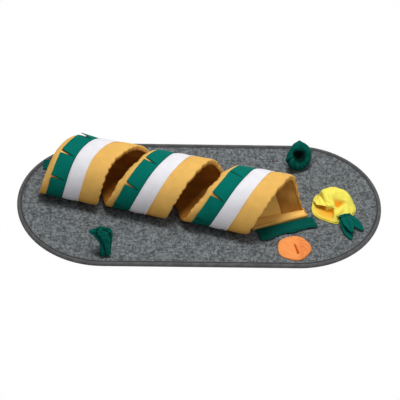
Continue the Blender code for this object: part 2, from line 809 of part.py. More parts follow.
def make_pouch_top():
    foot = POUCH_BASE_THICKNESS + FIT_GAP
    top = finish_mesh("yellow_pouch_top",
                      polar_body(pouch_outline, pouch_top, lambda radius, angle: foot),
                      yellow_cloth(), (*POUCH_PLACE, SEAT))
    reach = POUCH_RADIUS + CUT_OVERRUN * 2
    outline = []
    there, back = range(POCKET_STEPS + 1), range(POCKET_STEPS, -1, -1)
    for radius, order in ((POUCH_CORE_RADIUS, there), (reach, back)):
        for step in order:
            angle = POCKET_FROM + (POCKET_TO - POCKET_FROM) * step / POCKET_STEPS
            outline.append((radius * cos(angle), radius * sin(angle)))
    cutter = prism_cutter("pouch_pocket_cutter", outline, foot + POUCH_FLOOR,
                          POUCH_DOME_HEIGHT + CUT_OVERRUN, (*POUCH_PLACE, SEAT))
    cut_with(top, cutter)
    return top


def flap_point(along, inward):
    """Point of the flap's top: from the rim seam up and over to its free edge."""
    rim = Vector((*FLAP_RIM[0], FLAP_RIM_HEIGHT)).lerp(Vector((*FLAP_RIM[1], FLAP_RIM_HEIGHT)), along)
    free = Vector((*FLAP_FREE[0], FLAP_FREE_HEIGHTS[0])).lerp(
        Vector((*FLAP_FREE[1], FLAP_FREE_HEIGHTS[1])), along)
    point = rim.lerp(free, inward)
    point.z += FLAP_BULGE * sin(pi * inward ** 0.6)
    return point


def flap_pivot():
    middle = Vector((*FLAP_RIM[0], 0.0)).lerp(Vector((*FLAP_RIM[1], 0.0)), 0.5)
    return Vector((POUCH_PLACE[0] + middle.x, POUCH_PLACE[1] + middle.y, SEAT + FLAP_RIM_HEIGHT))


def make_pouch_flap():
    pivot = bpy.data.objects.new("pouch_flap_fold", None)
    pivot.location = flap_pivot()
    bpy.context.scene.collection.objects.link(pivot)
    shift = Vector((*POUCH_PLACE, SEAT)) - flap_pivot()
    tops, feet = [], []
    for row in range(FLAP_STEPS + 1):
        points = [flap_point(step / FLAP_STEPS, row / FLAP_STEPS) + shift for step in range(FLAP_STEPS + 1)]
        tops.append(points)
        feet.append([point - Vector((0.0, 0.0, FLAP_THICKNESS)) for point in points])
    flap = finish_mesh("yellow_pouch_flap", sheet(tops, feet), yellow_cloth())
    flap.parent = pivot
    return flap


def leaf_height(heights, share):
    span = len(heights) - 1
    index = min(int(share * span), span - 1)
    step = share * span - index
    return heights[index] + (heights[index + 1] - heights[index]) * smooth_step(step)


def leaf_width(width, share):
    """Full in the middle, narrower at the sewn root and at the tip."""
    if share < 0.5:
        return width * (LEAF_ROOT_SHARE + (1 - LEAF_ROOT_SHARE) * sin(pi * share))
    return width * (LEAF_TIP_SHARE + (1 - LEAF_TIP_SHARE) * sin(pi * share) ** 0.8)


def leaf_pivot():
    """Sewn seam of the leaves, level with the top of their roots."""
    (root_x, root_y), _, _, heights = LEAF_MIDDLE
    seam = SEAT + heights[0] + LEAF_THICKNESS + LEAF_KEEL
    return Vector((POUCH_PLACE[0] + root_x, POUCH_PLACE[1] + root_y, seam))


def make_leaf(name, leaf, pivot):
    root, tip, width, heights = leaf
    centre_of_pouch = Vector((*POUCH_PLACE, 0.0))
    start, end = centre_of_pouch + Vector((*root, 0.0)), centre_of_pouch + Vector((*tip, 0.0))
    ahead = (end - start).normalized()
    aside = Vector((-ahead.y, ahead.x, 0.0))
    tops, feet = [], []
    for row in range(LEAF_STEPS + 1):
        share = row / LEAF_STEPS
        centre = start.lerp(end, share)
        height = SEAT + leaf_height(heights, share)
        top_row, foot_row = [], []
        for column in range(LEAF_COLUMNS + 1):
            offset = 2 * column / LEAF_COLUMNS - 1
            lift = LEAF_KEEL * (1 - abs(offset)) * sin(pi * share)
            point = centre + aside * (offset * leaf_width(width, share) / 2) - leaf_pivot()
            foot_row.append(point + Vector((0.0, 0.0, height + lift)))
            top_row.append(point + Vector((0.0, 0.0, height + lift + LEAF_THICKNESS)))
        tops.append(top_row)
        feet.append(foot_row)
    item = finish_mesh(name, sheet(tops, feet), green_cloth())
    item.parent = pivot
    return item


def make_leaves():
    pivot = bpy.data.objects.new("leaf_seam", None)
    pivot.location = leaf_pivot()
    bpy.context.scene.collection.objects.link(pivot)
    for name, leaf in (("leaf_lower", LEAF_LOWER), ("leaf_right", LEAF_RIGHT), ("leaf_middle", LEAF_MIDDLE)):
        make_leaf(name, leaf, pivot)


def orange_outline(angle):
    return ORANGE_RADIUS * (1 + ORANGE_LOBE_SHARE * cos(ORANGE_LOBES * angle))


def orange_top(radius, angle):
    share = min(radius / ORANGE_RADIUS, 1.0)
    height = ORANGE_RIM_HEIGHT + (ORANGE_DOME_HEIGHT - ORANGE_RIM_HEIGHT) * (1 - share ** 4)
    pucker = max(cos(angle), 0.0) * share * (1 - share) * 4
    return height + ORANGE_PUCKER * pucker * (1 + cos(ORANGE_PUCKERS * angle))


def make_orange_base():
    return finish_mesh("orange_pocket_base", disc_body(orange_outline, ORANGE_BASE_THICKNESS),
                       orange_cloth(), (*ORANGE_PLACE, SEAT))


def make_orange_top():
    foot = ORANGE_BASE_THICKNESS + FIT_GAP
    top = finish_mesh("orange_pocket_top",
                      polar_body(orange_outline, orange_top, lambda radius, angle: foot, 5),
                      orange_cloth(), (*ORANGE_PLACE, SEAT))
    head, heel = Vector(SLOT_TOP), Vector(SLOT_FOOT)
    ahead = (heel - head).normalized()
    aside = Vector((-ahead.y, ahead.x)) * (SLOT_WIDTH / 2)
    middle = head.lerp(heel, SLOT_FULL_SHARE)
    blunt = aside * SLOT_FULL_SHARE
    outline = [tuple(head), tuple(middle + aside), tuple(heel + blunt), tuple(heel - blunt), tuple(middle - aside)]
    cutter = prism_cutter("orange_slot_cutter", outline, foot - CUT_OVERRUN,
                          ORANGE_DOME_HEIGHT + CUT_OVERRUN * 2, (*ORANGE_PLACE, SEAT))
    cut_with(top, cutter)
    return top


# Standing strips

def spline_value(values, share):
    """Smooth value through evenly spread keys."""
    span = len(values) - 1
    index = min(int(share * span), span - 1)
    step = share * span - index
    before, after = values[max(index - 1, 0)], values[min(index + 2, span)]
    start, end = values[index], values[index + 1]
    rise_in, rise_out = (end - before) / 2, (after - start) / 2
    square, cube = step * step, step * step * step
    return ((2 * cube - 3 * square + 1) * start + (cube - 2 * square + step) * rise_in
            + (3 * square - 2 * cube) * end + (cube - square) * rise_out)


def make_knot():
    """A folded strip, twisted as it rises, on a rounded foot that it rocks on."""
    xs, ys, zs = zip(*KNOT_CENTRES)
    pivot_height = KNOT_FOOT_RADIUS
    sections = []
    for ring in range(KNOT_RINGS + 1):
        share = ring / KNOT_RINGS
        height = max(spline_value(zs, share), KNOT_FOOT_FLAT)
        width, depth = spline_value(KNOT_WIDTHS, share), spline_value(KNOT_DEPTHS, share)
        centre = Vector((spline_value(xs, share), spline_value(ys, share), height - pivot_height))
        ridge = KNOT_RIDGE_SHARE * smooth_step((height - KNOT_FOOT_RADIUS) / KNOT_FOOT_RADIUS)
        if height < KNOT_FOOT_RADIUS:
            drop = max(KNOT_FOOT_RADIUS - height, 0.0)
            radius = sqrt(max(KNOT_FOOT_RADIUS ** 2 - drop ** 2, 0.0))
            width = depth = radius * KNOT_FOOT_SHARE
            centre.x = centre.y = 0.0
        outline = []
        for side in range(KNOT_SIDES):
            angle = tau * side / KNOT_SIDES
            swell = 1 + ridge * (cos(KNOT_RIDGES * angle) - 1)
            x, y = width * swell * cos(angle), depth * swell * sin(angle)
            turn = KNOT_TWIST * smooth_step(share)
            outline.append(centre + Vector((x * cos(turn) - y * sin(turn) * KNOT_FLAT_SHARE,
                                            x * sin(turn) * KNOT_FLAT_SHARE + y * cos(turn * KNOT_FLAT_SHARE), 0.0)))
        sections.append(outline)
    build = loft(sections)
    return finish_mesh("front_left_knot", build, green_cloth(),
                       (*KNOT_PLACE, SEAT + pivot_height), 0.0, radians(60.0))


def loop_tube(turn):
    """Radius of the gathered roll at a place round the loop, fullest at its foot."""
    return LOOP_TUBE + LOOP_TUBE_CHANGE * (cos(turn) - 1) / 2


def make_loop():
    """A gathered roll of cloth closed into a leaning ring, on the round of its own foot."""
    build = bmesh.new()
    rows = []
    up = Vector((0.0, sin(LOOP_LEAN), cos(LOOP_LEAN)))
    for step in range(LOOP_STEPS):
        turn = tau * step / LOOP_STEPS
        tube = loop_tube(turn)
        across, rise = LOOP_RADIUS * sin(turn), (LOOP_RADIUS - LOOP_RADIUS * cos(turn)) * (1 + LOOP_STRETCH_SHARE)
        centre = Vector((across, 0.0, 0.0)) + up * rise
        away = (Vector((sin(turn), 0.0, 0.0)) - up * cos(turn)).normalized()
        aside = away.cross(Vector((cos(turn), 0.0, 0.0)) + up * sin(turn)).normalized()
        row = []
        for side in range(LOOP_SIDES):
            angle = tau * side / LOOP_SIDES
            lift = smooth_step(rise / LOOP_RADIUS)
            gather = 1 + LOOP_GATHER_SHARE * lift * (cos(LOOP_GATHERS * turn + 2 * angle) - 1)
            row.append(build.verts.new(centre + (away * cos(angle) + aside * sin(angle)) * tube * gather))
        rows.append(row)
    for step in range(LOOP_STEPS):
        near, far = rows[step], rows[(step + 1) % LOOP_STEPS]
        for side in range(LOOP_SIDES):
            after = (side + 1) % LOOP_SIDES
            build.faces.new((near[side], far[side], far[after], near[after]))
    return finish_mesh("back_right_loop", build, green_cloth(),
                       (*LOOP_PLACE, SEAT + LOOP_TUBE), LOOP_TURN, radians(60.0))


def make_part():
    clear_scene()
    make_backing()
    make_wadding()
    make_felt()
    make_binding()
    make_padding()
    make_lining()
    make_left_band()
    make_green_band()
    make_white_band()
    make_mustard_band()
    right, left = tab_frames()
    make_tab("right", right, RIGHT_TAB_LENGTH, RIGHT_TAB_DEPTH)
    make_tab("left", left, LEFT_TAB_LENGTH, LEFT_TAB_DEPTH)
    make_pouch_base()
    make_pouch_top()
    make_pouch_flap()
    make_leaves()
    make_orange_base()
    make_orange_top()
    make_knot()
    make_loop()


make_part()
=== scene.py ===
"""Dresses the small pet play mat: felt, binding, padded spiral tunnel and sewn treat toys, with a stage."""

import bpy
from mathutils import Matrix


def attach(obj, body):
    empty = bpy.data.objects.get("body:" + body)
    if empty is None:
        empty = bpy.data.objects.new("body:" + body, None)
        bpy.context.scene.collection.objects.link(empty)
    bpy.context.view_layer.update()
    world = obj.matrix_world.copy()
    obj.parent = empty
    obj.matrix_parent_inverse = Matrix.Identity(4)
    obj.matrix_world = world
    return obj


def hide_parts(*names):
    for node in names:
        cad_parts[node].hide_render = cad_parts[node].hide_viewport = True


bl_info = {
    "name": "Pet Play Mat Dressing",
    "version": (1, 0, 0),
    "blender": (4, 5, 0),
    "location": "3D View > Sidebar > Play Mat",
    "description": "Cloth, felt, stitches and stage for a padded spiral tunnel play mat",
    "category": "Object",
}

from math import cos, pi, radians, sin, sqrt, tau

import bmesh
import bpy
import numpy as np
from mathutils import Matrix, Vector

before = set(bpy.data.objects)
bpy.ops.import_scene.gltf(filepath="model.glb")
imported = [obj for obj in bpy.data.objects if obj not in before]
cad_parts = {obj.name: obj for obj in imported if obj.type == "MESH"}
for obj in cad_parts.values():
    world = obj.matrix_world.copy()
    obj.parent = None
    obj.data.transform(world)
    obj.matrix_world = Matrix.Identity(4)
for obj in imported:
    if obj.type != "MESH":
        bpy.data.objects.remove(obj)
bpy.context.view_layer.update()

# Mat
MAT_LENGTH = 1.000
MAT_WIDTH = 0.470
FELT_FOOT = 0.0061
FELT_TOP = 0.0100
FELT_EDGE_TOP = 0.0092
FELT_INSET = 0.0033
BINDING_TOP = 0.0110
SEAT = 0.0103
OUTLINE_STEPS = 72
WADDING_COLOUR = (0.80, 0.80, 0.78)

# Tunnel place and its arch section
TUNNEL_PLACE = (-0.366, 0.072, SEAT)
TUNNEL_TURN = radians(-14.5)
ARCH_WIDTH = 0.172
ARCH_HEIGHT = 0.141
ARCH_WIDEST = 0.038
ARCH_LEAN = 0.0168
ARCH_TOP_POWER = 2.55
ARCH_FOOT_POWER = 1.95
ARCH_SAMPLES = 720
TURN_SHARES = np.array((-0.29, 0.0, 0.31, 0.62, 1.0, 1.31, 1.62, 2.0, 2.31, 2.62))
ADVANCES = np.array((0.0, 0.030, 0.0645, 0.153, 0.2215, 0.285, 0.350, 0.4475, 0.515, 0.5645))
FOLD_TURN_SHARE = 2.69
FOLD_LEFT = (0.518, -0.013)
FOLD_RIGHT = (0.652, 0.076)
PANEL_DEPTH = 0.0348
RAMP_ARC = 0.130
CREASE_SIDE = 0.097

# Ribbon seams and layers
RIBBON_WIDTH = 0.161
LEFT_SEAM = 0.018
GREEN_SEAM = 0.063
WHITE_SEAM = 0.106
PADDING_OUT = 0.0019
PADDING_IN = 0.0094
LINING_OUT = 0.0099
LINING_IN = 0.0111
CLOTH = 0.0010
HEM = 0.0022
HEM_PITCH = 0.0046
BAND_GAP = 0.0002
PIPING_RADIUS = 0.0015
EDGE_ROLL = 0.0115
ROLL_HEIGHTS = (0.058, 0.115)
FADE_HEIGHT = 0.030
STATION_STEP = 0.0034
START_GATHER = 0.0160
START_GATHER_ARC = 0.110
SLIT_ARCS = (0.045, 0.114, 0.184, 0.272, 0.355, 0.438, 0.503, 0.5666, 0.6496, 0.7326, 0.8156, 0.8986, 0.9676,
             1.0182, 1.0942, 1.1775, 1.2632)
SLIT_OPEN_SHARES = (0.9, 1.0, 0.9, 0.6, 0.8, 0.5, 0.12, 1.0, 1.0, 0.6, 0.8, 0.6, 0.6, 0.12, 1.1, 0.10, 0.5)
SLIT_MOUTH = 0.0040
SLIT_COLUMNS = 14
SLIT_REACH = 0.014
NOTCH_SLIT = 3
NOTCH_LIFT = 0.0044

# Tabs
RIGHT_TAB = (0.165, 0.039, 0.0085, 0.0020)
LEFT_TAB = (0.1310, 0.0345, 0.0025, 0.0020)
TAB_WAVES = (0.0050, 0.0085, 0.0010, -0.0015, 0.0035, 0.0005, 0.0010, 0.0045)
TAB_FOOT = 0.0013
TAB_THICKNESS = 0.0024
TAB_ROOT_GAP = 0.0018
TAB_HEM_ROW = 15

# Toys
POUCH_PLACE = (0.3675, -0.011)
POUCH_RADIUS = 0.0585
POUCH_BASE = 0.0022
POUCH_RIM = 0.0060
POUCH_DOME = 0.0280
POUCH_CORE = 0.0190
POCKET_ANGLES = (radians(112.0), radians(272.0))
DIMPLE_PLACE = (0.0120, -0.0040)
FLAP_RIM = ((-0.0560, 0.0140), (-0.0330, 0.0460))
FLAP_FREE = ((-0.0480, -0.0050), (-0.0140, -0.0200))
FLAP_HEIGHTS = (0.0075, 0.0175, 0.0245)
LOWER_LEAF = ((0.3880, -0.0560), (0.4110, -0.1340), 0.0290, (0.0130, 0.0125, 0.0100, 0.0060, 0.0024))
RIGHT_LEAF = ((0.4020, -0.0540), (0.4460, -0.1010), 0.0250, (0.0147, 0.0150, 0.0115, 0.0075, 0.0036))
MIDDLE_LEAF = ((0.3920, -0.0540), (0.4130, -0.1210), 0.0300, (0.0157, 0.0215, 0.0235, 0.0225, 0.0190))
ORANGE_PLACE = (0.2545, -0.1685)
ORANGE_RADIUS = 0.0455
ORANGE_BASE = 0.0016
ORANGE_RIM = 0.0034
ORANGE_DOME = 0.0078
SLOT_ENDS = ((0.0010, 0.0095), (0.0105, -0.0270))
KNOT_PLACE = (-0.260, -0.200)
LOOP_PLACE = (0.2798, 0.1421)
LOOP_RADIUS = 0.0245
LOOP_TUBE = 0.0165
LOOP_LEAN = radians(26.0)
LOOP_TURN = radians(28.0)
LOOP_HEIGHT = 1.05
TOY_CLOTH = 0.0014
TOP_GAP = 0.0003
SWELL_FRAMES = 20

# Stage
FLOOR_HALF = 20.0
FLOOR_HEIGHT = -0.0006
SENSOR_WIDTH = 36.0
LENS_SHARE = 7.5
CAMERA_ANGLES = (-2.57, 45.0, 2.52)
CAMERA_TARGET = (0.0022, 0.0236, 0.0)
CAMERA_DISTANCE = 8.26
WHITE = (1.0, 1.0, 1.0, 1.0)
LAMPS = (("key_lamp", (0.10, 0.35, 3.0), 1.3), ("fill_lamp", (1.7, -1.3, 1.9), 1.4))


# Node building

def math_node(operation, swapped=False):
    """A method that makes one math node of a value and other numbers."""
    def method(self, *others):
        values = (*others, self) if swapped else (self, *others)
        return self.tree.add("ShaderNodeMath", {"operation": operation}, *values)

    return method


class Value:
    """A number socket that Python's operators work on."""

    def __init__(self, tree, socket):
        self.tree, self.socket = tree, socket

    __add__ = __radd__ = math_node("ADD")
    __sub__, __rsub__ = math_node("SUBTRACT"), math_node("SUBTRACT", True)
    __mul__ = __rmul__ = math_node("MULTIPLY")
    __truediv__, __pow__, __abs__ = math_node("DIVIDE"), math_node("POWER"), math_node("ABSOLUTE")
    highest = math_node("MAXIMUM")

    def between(self, low, high):
        """0 below low, 1 above high, smooth between them."""
        return self.tree.add("ShaderNodeMapRange", {"interpolation_type": "SMOOTHSTEP"}, self, low, high, 0.0, 1.0)


class Tree:
    """A node tree that is written as Python calls."""

    def __init__(self, tree):
        self.tree = tree

    def fill(self, node, sockets):
        """Link or set the sockets of a node."""
        for key, value in sockets.items():
            if isinstance(value, Value):
                self.tree.links.new(value.socket, node.inputs[key])
            else:
                node.inputs[key].default_value = value

    def add(self, kind, settings=None, *values, out=0, **names):
        """One node: its settings, then its sockets in order or by name. Gives one output."""
        node = self.tree.nodes.new(kind)
        for key, setting in (settings or {}).items():
            setattr(node, key, setting)
        self.fill(node, dict(enumerate(values)))
        self.fill(node, {key.replace("_", " "): value for key, value in names.items()})
        return Value(self, node.outputs[out]) if len(node.outputs) else node

    def mix(self, factor, first, second):
        """A mix of two colours."""
        node = self.tree.nodes.new("ShaderNodeMix")
        node.data_type = "RGBA"
        colours = [value if isinstance(value, Value) else (*value, 1.0) for value in (first, second)]
        self.fill(node, dict(zip((0, 6, 7), (factor, *colours))))
        return Value(self, node.outputs[2])

    def place(self, kind="Object"):
        return self.add("ShaderNodeTexCoord", out=kind)

    def stored(self, name, out="Fac"):
        return self.add("ShaderNodeAttribute", {"attribute_name": name}, out=out)

    def wave(self, place, way, scale, distortion):
        return self.add("ShaderNodeTexWave", {"wave_type": "BANDS", "bands_direction": way}, place, Scale=scale,
                        Distortion=distortion)

    def cells(self, scale, randomness):
        return self.add("ShaderNodeTexVoronoi", Vector=self.place(), Scale=scale, Randomness=randomness)

    def noise(self, place, scale, detail=2.0, roughness=0.5, stretch=None):
        if stretch:
            place = self.add("ShaderNodeMapping", None, place, Scale=stretch)
        return self.add("ShaderNodeTexNoise", Vector=place, Scale=scale, Detail=detail, Roughness=roughness)


def surface(name, colour, roughness, build, sheen=0.0, strength=0.4, distance=0.001):
    """A material on a Principled shader; build gives the colour and the bump height."""
    finish = bpy.data.materials.new(name)
    finish.use_nodes = True
    tree = Tree(finish.node_tree)
    tint, height = build(tree, tuple(colour))
    bumped = tree.add("ShaderNodeBump", Strength=strength, Distance=distance, Height=height)
    tree.fill(finish.node_tree.nodes["Principled BSDF"], {
        "Roughness": roughness, "Sheen Weight": sheen, "Sheen Roughness": 0.5, "Specular IOR Level": 0.06,
        "Base Color": tint, "Normal": bumped})
    finish.diffuse_color = (*colour, 1.0)
    return finish


def shade(colour, share):
    """A darker or lighter tone of a colour."""
    return tuple(min(channel * share, 1.0) for channel in colour)


def felt_build(tree, colour):
    """Pressed wool: light and dark fibres over a soft mottle."""
    place = tree.place()
    specks = tree.noise(place, 150.0, 3.0, 0.7)
    fibres = tree.noise(place, 120.0, 2.0, 0.6, stretch=(1.0, 0.30, 1.0))
    slanted = tree.noise(place, 115.0, 2.0, 0.6, stretch=(0.32, 1.0, 1.0))
    mottle = tree.noise(place, 40.0, 3.0, 0.6)
    tint = tree.mix(mottle.between(0.35, 0.65), shade(colour, 0.80), shade(colour, 1.18))
    for share, tone in ((specks.between(0.51, 0.60) * 0.72, 1.85), ((1 - specks.between(0.40, 0.49)) * 0.72, 0.36),
                        (fibres.between(0.57, 0.66) * 0.55, 1.9), (slanted.between(0.57, 0.66) * 0.55, 0.40)):
        tint = tree.mix(share, tint, shade(colour, tone))
    return tint, specks + fibres * 0.6


def tape_build(tree, colour):
    """Woven tape: fine cross ribs, worn high spots and painted shade in its sewn groove."""
    ribs = tree.wave(tree.place("UV"), "X", 210.0, 0.6)
    wear = tree.noise(tree.place(), 60.0, 3.0)
    tint = tree.mix(wear.between(0.35, 0.7), shade(colour, 0.85), shade(colour, 1.18))
    return tree.mix(tree.stored("seam"), tint, shade(colour, 0.28)), ribs * 0.5 + wear


def cloth_build(tree, colour, dark=0.5, where="UV", accent=None, nap=0.045):
    """Brushed cloth: a fine weave, a soft nap, and painted shade in its seams and folds, with painted light where a
    piece marks it lit.
    """
    flat, place = tree.place(where), tree.place()
    warp, weft = (tree.wave(flat, way, 480.0, 1.2) for way in "XY")
    soft, fuzz = tree.noise(place, 48.0, 3.0, 0.5), tree.noise(place, 900.0, 2.0, 0.7)
    tint = tree.mix(soft.between(0.3, 0.7), shade(colour, 1 - nap), shade(colour, 1 + nap))
    tint = tree.mix(fuzz.between(0.35, 0.65) * 0.22, tint, shade(colour, 0.72))
    # Painted shade, and painted light on the lining, mixed in point by point
    tint = tree.mix(tree.stored("seam"), tint, accent or shade(colour, dark))
    return tint, warp * weft + fuzz * 0.8 + soft * 0.5


def dotted_build(tree, colour):
    """Rubber sheet with a grid of small grip dots."""
    dots = 1 - tree.cells(140.0, 0.0).between(0.22, 0.30)
    return tree.mix(dots, colour, shade(colour, 1.6)), dots


def hook_build(tree, colour):
    """Hook tape: close rows of tiny stiff hooks."""
    cells = tree.cells(900.0, 0.3)
    return tree.mix(cells.between(0.1, 0.5), shade(colour, 1.8), colour), cells


def cloth(name, colour, **look):
    """Brushed cloth in one colour; look goes to the cloth's own nodes."""
    return surface(name, colour, 0.86, lambda tree, tone: cloth_build(tree, tone, **look), sheen=0.015, strength=0.30,
                   distance=0.0006)


# Curves and meshes

def ripple(first, second, length, seed, count=6):
    """Smooth uneven waves over two coordinates, from about -1 to 1."""
    draw = np.random.default_rng(seed)
    total = np.zeros(np.broadcast(first, second).shape)
    for _ in range(count):
        angle, size, phase = draw.uniform(0, pi), length * draw.uniform(0.7, 1.5), draw.uniform(0, tau)
        total = total + np.sin(tau * (first * cos(angle) + second * sin(angle)) / size + phase)
    return total / sqrt(count) * 0.75


def smooth_step(value):
    value = np.clip(value, 0.0, 1.0)
    return value * value * (3 - 2 * value)


def bump(value, centre, width):
    """A smooth hump, 1 at its centre."""
    return np.exp(-((value - centre) / width) ** 2)


def close_to(value, width):
    """1 at zero, falling evenly to 0 at a width."""
    return np.clip(1 - value / width, 0, 1)


def cubic(step, start, end, rise, fall):
    """A smooth way from start to end over one step, with its slopes there."""
    square, cube = step ** 2, step ** 3
    return ((2 * cube - 3 * square + 1) * start + (cube - 2 * square + step) * rise
            + (3 * square - 2 * cube) * end + (cube - square) * fall)


def spline(values, share):
    """Smooth values through evenly spread keys."""
    values = np.asarray(values, float)
    span = len(values) - 1
    key = np.clip((share * span).astype(int), 0, span - 1)
    before, after = values[np.maximum(key - 1, 0)], values[np.minimum(key + 2, span)]
    start, end = values[key], values[key + 1]
    return cubic(share * span - key, start, end, (end - before) / 2, (after - start) / 2)


def stack(*parts):
    """Points or pairs from their coordinates."""
    return np.stack(np.broadcast_arrays(*parts), -1)


def grid(first, second):
    """The two coordinates of every place in a grid."""
    return np.meshgrid(first, second, indexing="ij")


def grid_faces(rows, columns, around=False, ring=False, capped=False, base=0):
    """Quads of a grid of points: around closes each row, ring joins the last row to the first, capped fills both."""
    def spot(row, column):
        return base + row % rows * columns + column % columns

    faces = [(spot(row, column), spot(row, column + 1), spot(row + 1, column + 1), spot(row + 1, column))
             for row in range(rows if ring else rows - 1) for column in range(columns if around else columns - 1)]
    if capped:
        faces += [tuple(spot(row, column) for column in range(columns)) for row in (0, rows - 1)]
    return faces


def set_numbers(mesh, name, values):
    """One number or one vector for each point."""
    values = np.ascontiguousarray(values, np.float32).ravel()
    vector = len(values) > len(mesh.vertices)
    layer = mesh.attributes.get(name) or mesh.attributes.new(name, "FLOAT_VECTOR" if vector else "FLOAT", "POINT")
    layer.data.foreach_set("vector" if vector else "value", values)


def numbers_of(mesh, name, size=1):
    numbers = np.zeros(len(mesh.vertices) * size, np.float32)
    mesh.attributes[name].data.foreach_get("value" if size == 1 else "vector", numbers)
    return numbers


def mesh_points(mesh):
    points = np.zeros(len(mesh.vertices) * 3, np.float32)
    mesh.vertices.foreach_get("co", points)
    return points.reshape(-1, 3).astype(float)


def move_points(mesh, points):
    mesh.vertices.foreach_set("co", points.astype(np.float32).ravel())


def link(name, data):
    """An object in the scene for a mesh, a lamp or the camera."""
    item = bpy.data.objects.new(name, data)
    bpy.context.scene.collection.objects.link(item)
    return item


def new_piece(name, points, faces, finish=None, flat=None, numbers=None, outward=False):
    """One object from points and faces, with its flat cloth coordinates in metres."""
    mesh = bpy.data.meshes.new(name)
    mesh.from_pydata(np.asarray(points).reshape(-1, 3).tolist(), [], faces)
    if flat is not None:
        corners = np.zeros(len(mesh.loops), np.int32)
        mesh.loops.foreach_get("vertex_index", corners)
        spread = np.asarray(flat).reshape(-1, 2)[corners]
        mesh.uv_layers.new(name="flat").data.foreach_set("uv", spread.astype(np.float32).ravel())
    for key, values in (numbers or {}).items():
        set_numbers(mesh, key, values)
    if outward:
        join_points(mesh)
    if finish:
        mesh.materials.append(finish)
    mesh.shade_smooth()
    return link(name, mesh)


def join_points(mesh, distance=0.000001, outward=True):
    """Join doubled points, and turn every face out."""
    build = bmesh.new()
    build.from_mesh(mesh)
    bmesh.ops.remove_doubles(build, verts=build.verts, dist=distance)
    if outward:
        bmesh.ops.recalc_face_normals(build, faces=build.faces)
    build.to_mesh(mesh)
    build.free()


def settle(item):
    """Put what the modifiers make into a plain mesh, and take them off."""
    bpy.context.view_layer.update()
    graph = bpy.context.evaluated_depsgraph_get()
    mesh = bpy.data.meshes.new_from_object(item.evaluated_get(graph), preserve_all_data_layers=True, depsgraph=graph)
    item.modifiers.clear()
    item.data = mesh
    mesh.shade_smooth()
    return item


def thicken(item, thickness):
    """Give an open cloth its thickness, with a closed rim."""
    solid = item.modifiers.new("thickness", "SOLIDIFY")
    solid.thickness, solid.offset, solid.use_rim = thickness, -1.0, True
    return settle(item)


def swell(item, voxel, pressure, cap, held):
    """Stuffed cloth by simulation: remesh, blow up a little, and keep every point within a cap."""
    remesh = item.modifiers.new("even", "REMESH")
    remesh.mode, remesh.voxel_size = "VOXEL", voxel
    settle(item)
    start = mesh_points(item.data)
    pins = [int(index) for index in np.flatnonzero(held(start))]
    item.vertex_groups.new(name="held").add(pins, 1.0, "REPLACE")
    sim = item.modifiers.new("cloth", "CLOTH")
    sim.settings.use_pressure = True
    sim.settings.uniform_pressure_force = pressure
    sim.settings.tension_stiffness = sim.settings.compression_stiffness = 8.0
    sim.settings.bending_stiffness = 0.05
    sim.settings.effector_weights.gravity = 0.0
    sim.settings.vertex_group_mass = "held"
    sim.collision_settings.use_collision = False
    sim.point_cache.frame_start, sim.point_cache.frame_end = 1, SWELL_FRAMES
    for step in range(1, SWELL_FRAMES + 1):
        bpy.context.scene.frame_set(step)
    settle(item)
    bpy.context.scene.frame_set(1)
    moved = mesh_points(item.data) - start
    far = np.linalg.norm(moved, axis=1, keepdims=True)
    move_points(item.data, start + moved * np.minimum(1.0, cap / np.maximum(far, 1e-9)))
    item.vertex_groups.clear()
    finer = item.modifiers.new("soften", "SUBSURF")
    finer.levels = finer.render_levels = 1
    return settle(item)


# Geometry node trees

def sewn_cloth_tree(tree, given):
    """Puffs a band between its seams and gathers it into them."""
    def stored(name, kind="FLOAT"):
        return tree.add("GeometryNodeInputNamedAttribute", {"data_type": kind}, name)

    share, run, side = stored("share"), stored("run"), stored("side")
    crown = (1 - abs(share * 2 - 1) ** 2.6) * given["Crown"]
    edge = abs(share * 2 - 1) ** 3.0
    place = tree.add("ShaderNodeCombineXYZ", None, run / given["Pucker Length"], side * 34.0, given["Seed"])
    broad = tree.add("ShaderNodeCombineXYZ", None, run * 17.0, side * 26.0, given["Seed"] + 7.3)
    gathers, waves = tree.noise(place, 1.0, 1.0), tree.noise(broad, 1.0, 2.0)
    lift = (crown + (gathers - 0.5) * edge * given["Pucker Depth"] * 2.0
            + (waves - 0.5) * given["Slack"] * 2.0 * (1 - edge)) * stored("fade")
    offset = tree.add("ShaderNodeVectorMath", {"operation": "SCALE"}, stored("outward", "FLOAT_VECTOR"), Scale=lift)
    return tree.add("GeometryNodeSetPosition", None, given["Geometry"], Offset=offset)


def stitch_tree(tree, given):
    """Sets one stitch after another along a line of edges."""
    line = tree.add("GeometryNodeMeshToCurve", None, given["Geometry"])
    spots = tree.add("GeometryNodeCurveToPoints", {"mode": "LENGTH"}, Curve=line, Length=given["Pitch"], out="Points")
    turns = Value(tree, spots.socket.node.outputs["Rotation"])
    thread = tree.add("GeometryNodeMeshUVSphere", Segments=6, Rings=4, Radius=0.5)
    size = tree.add("ShaderNodeCombineXYZ", None, given["Width"], given["Width"], given["Length"])
    thread = tree.add("GeometryNodeTransform", None, thread, Scale=size)
    sewn = tree.add("GeometryNodeInstanceOnPoints", None, spots, Instance=thread, Rotation=turns)
    return tree.add("GeometryNodeRealizeInstances", None, sewn)


def piping_tree(tree, given):
    """Runs a thin round piping along a line of edges."""
    line = tree.add("GeometryNodeMeshToCurve", None, given["Geometry"])
    ring = tree.add("GeometryNodeCurvePrimitiveCircle", Resolution=8, Radius=given["Radius"])
    return tree.add("GeometryNodeCurveToMesh", Curve=line, Profile_Curve=ring, Fill_Caps=True)


GROUPS = {"sewn_cloth": (sewn_cloth_tree, ("Crown", "Pucker Depth", "Pucker Length", "Slack", "Seed")),
          "stitch_row": (stitch_tree, ("Pitch", "Length", "Width")), "piping": (piping_tree, ("Radius",))}


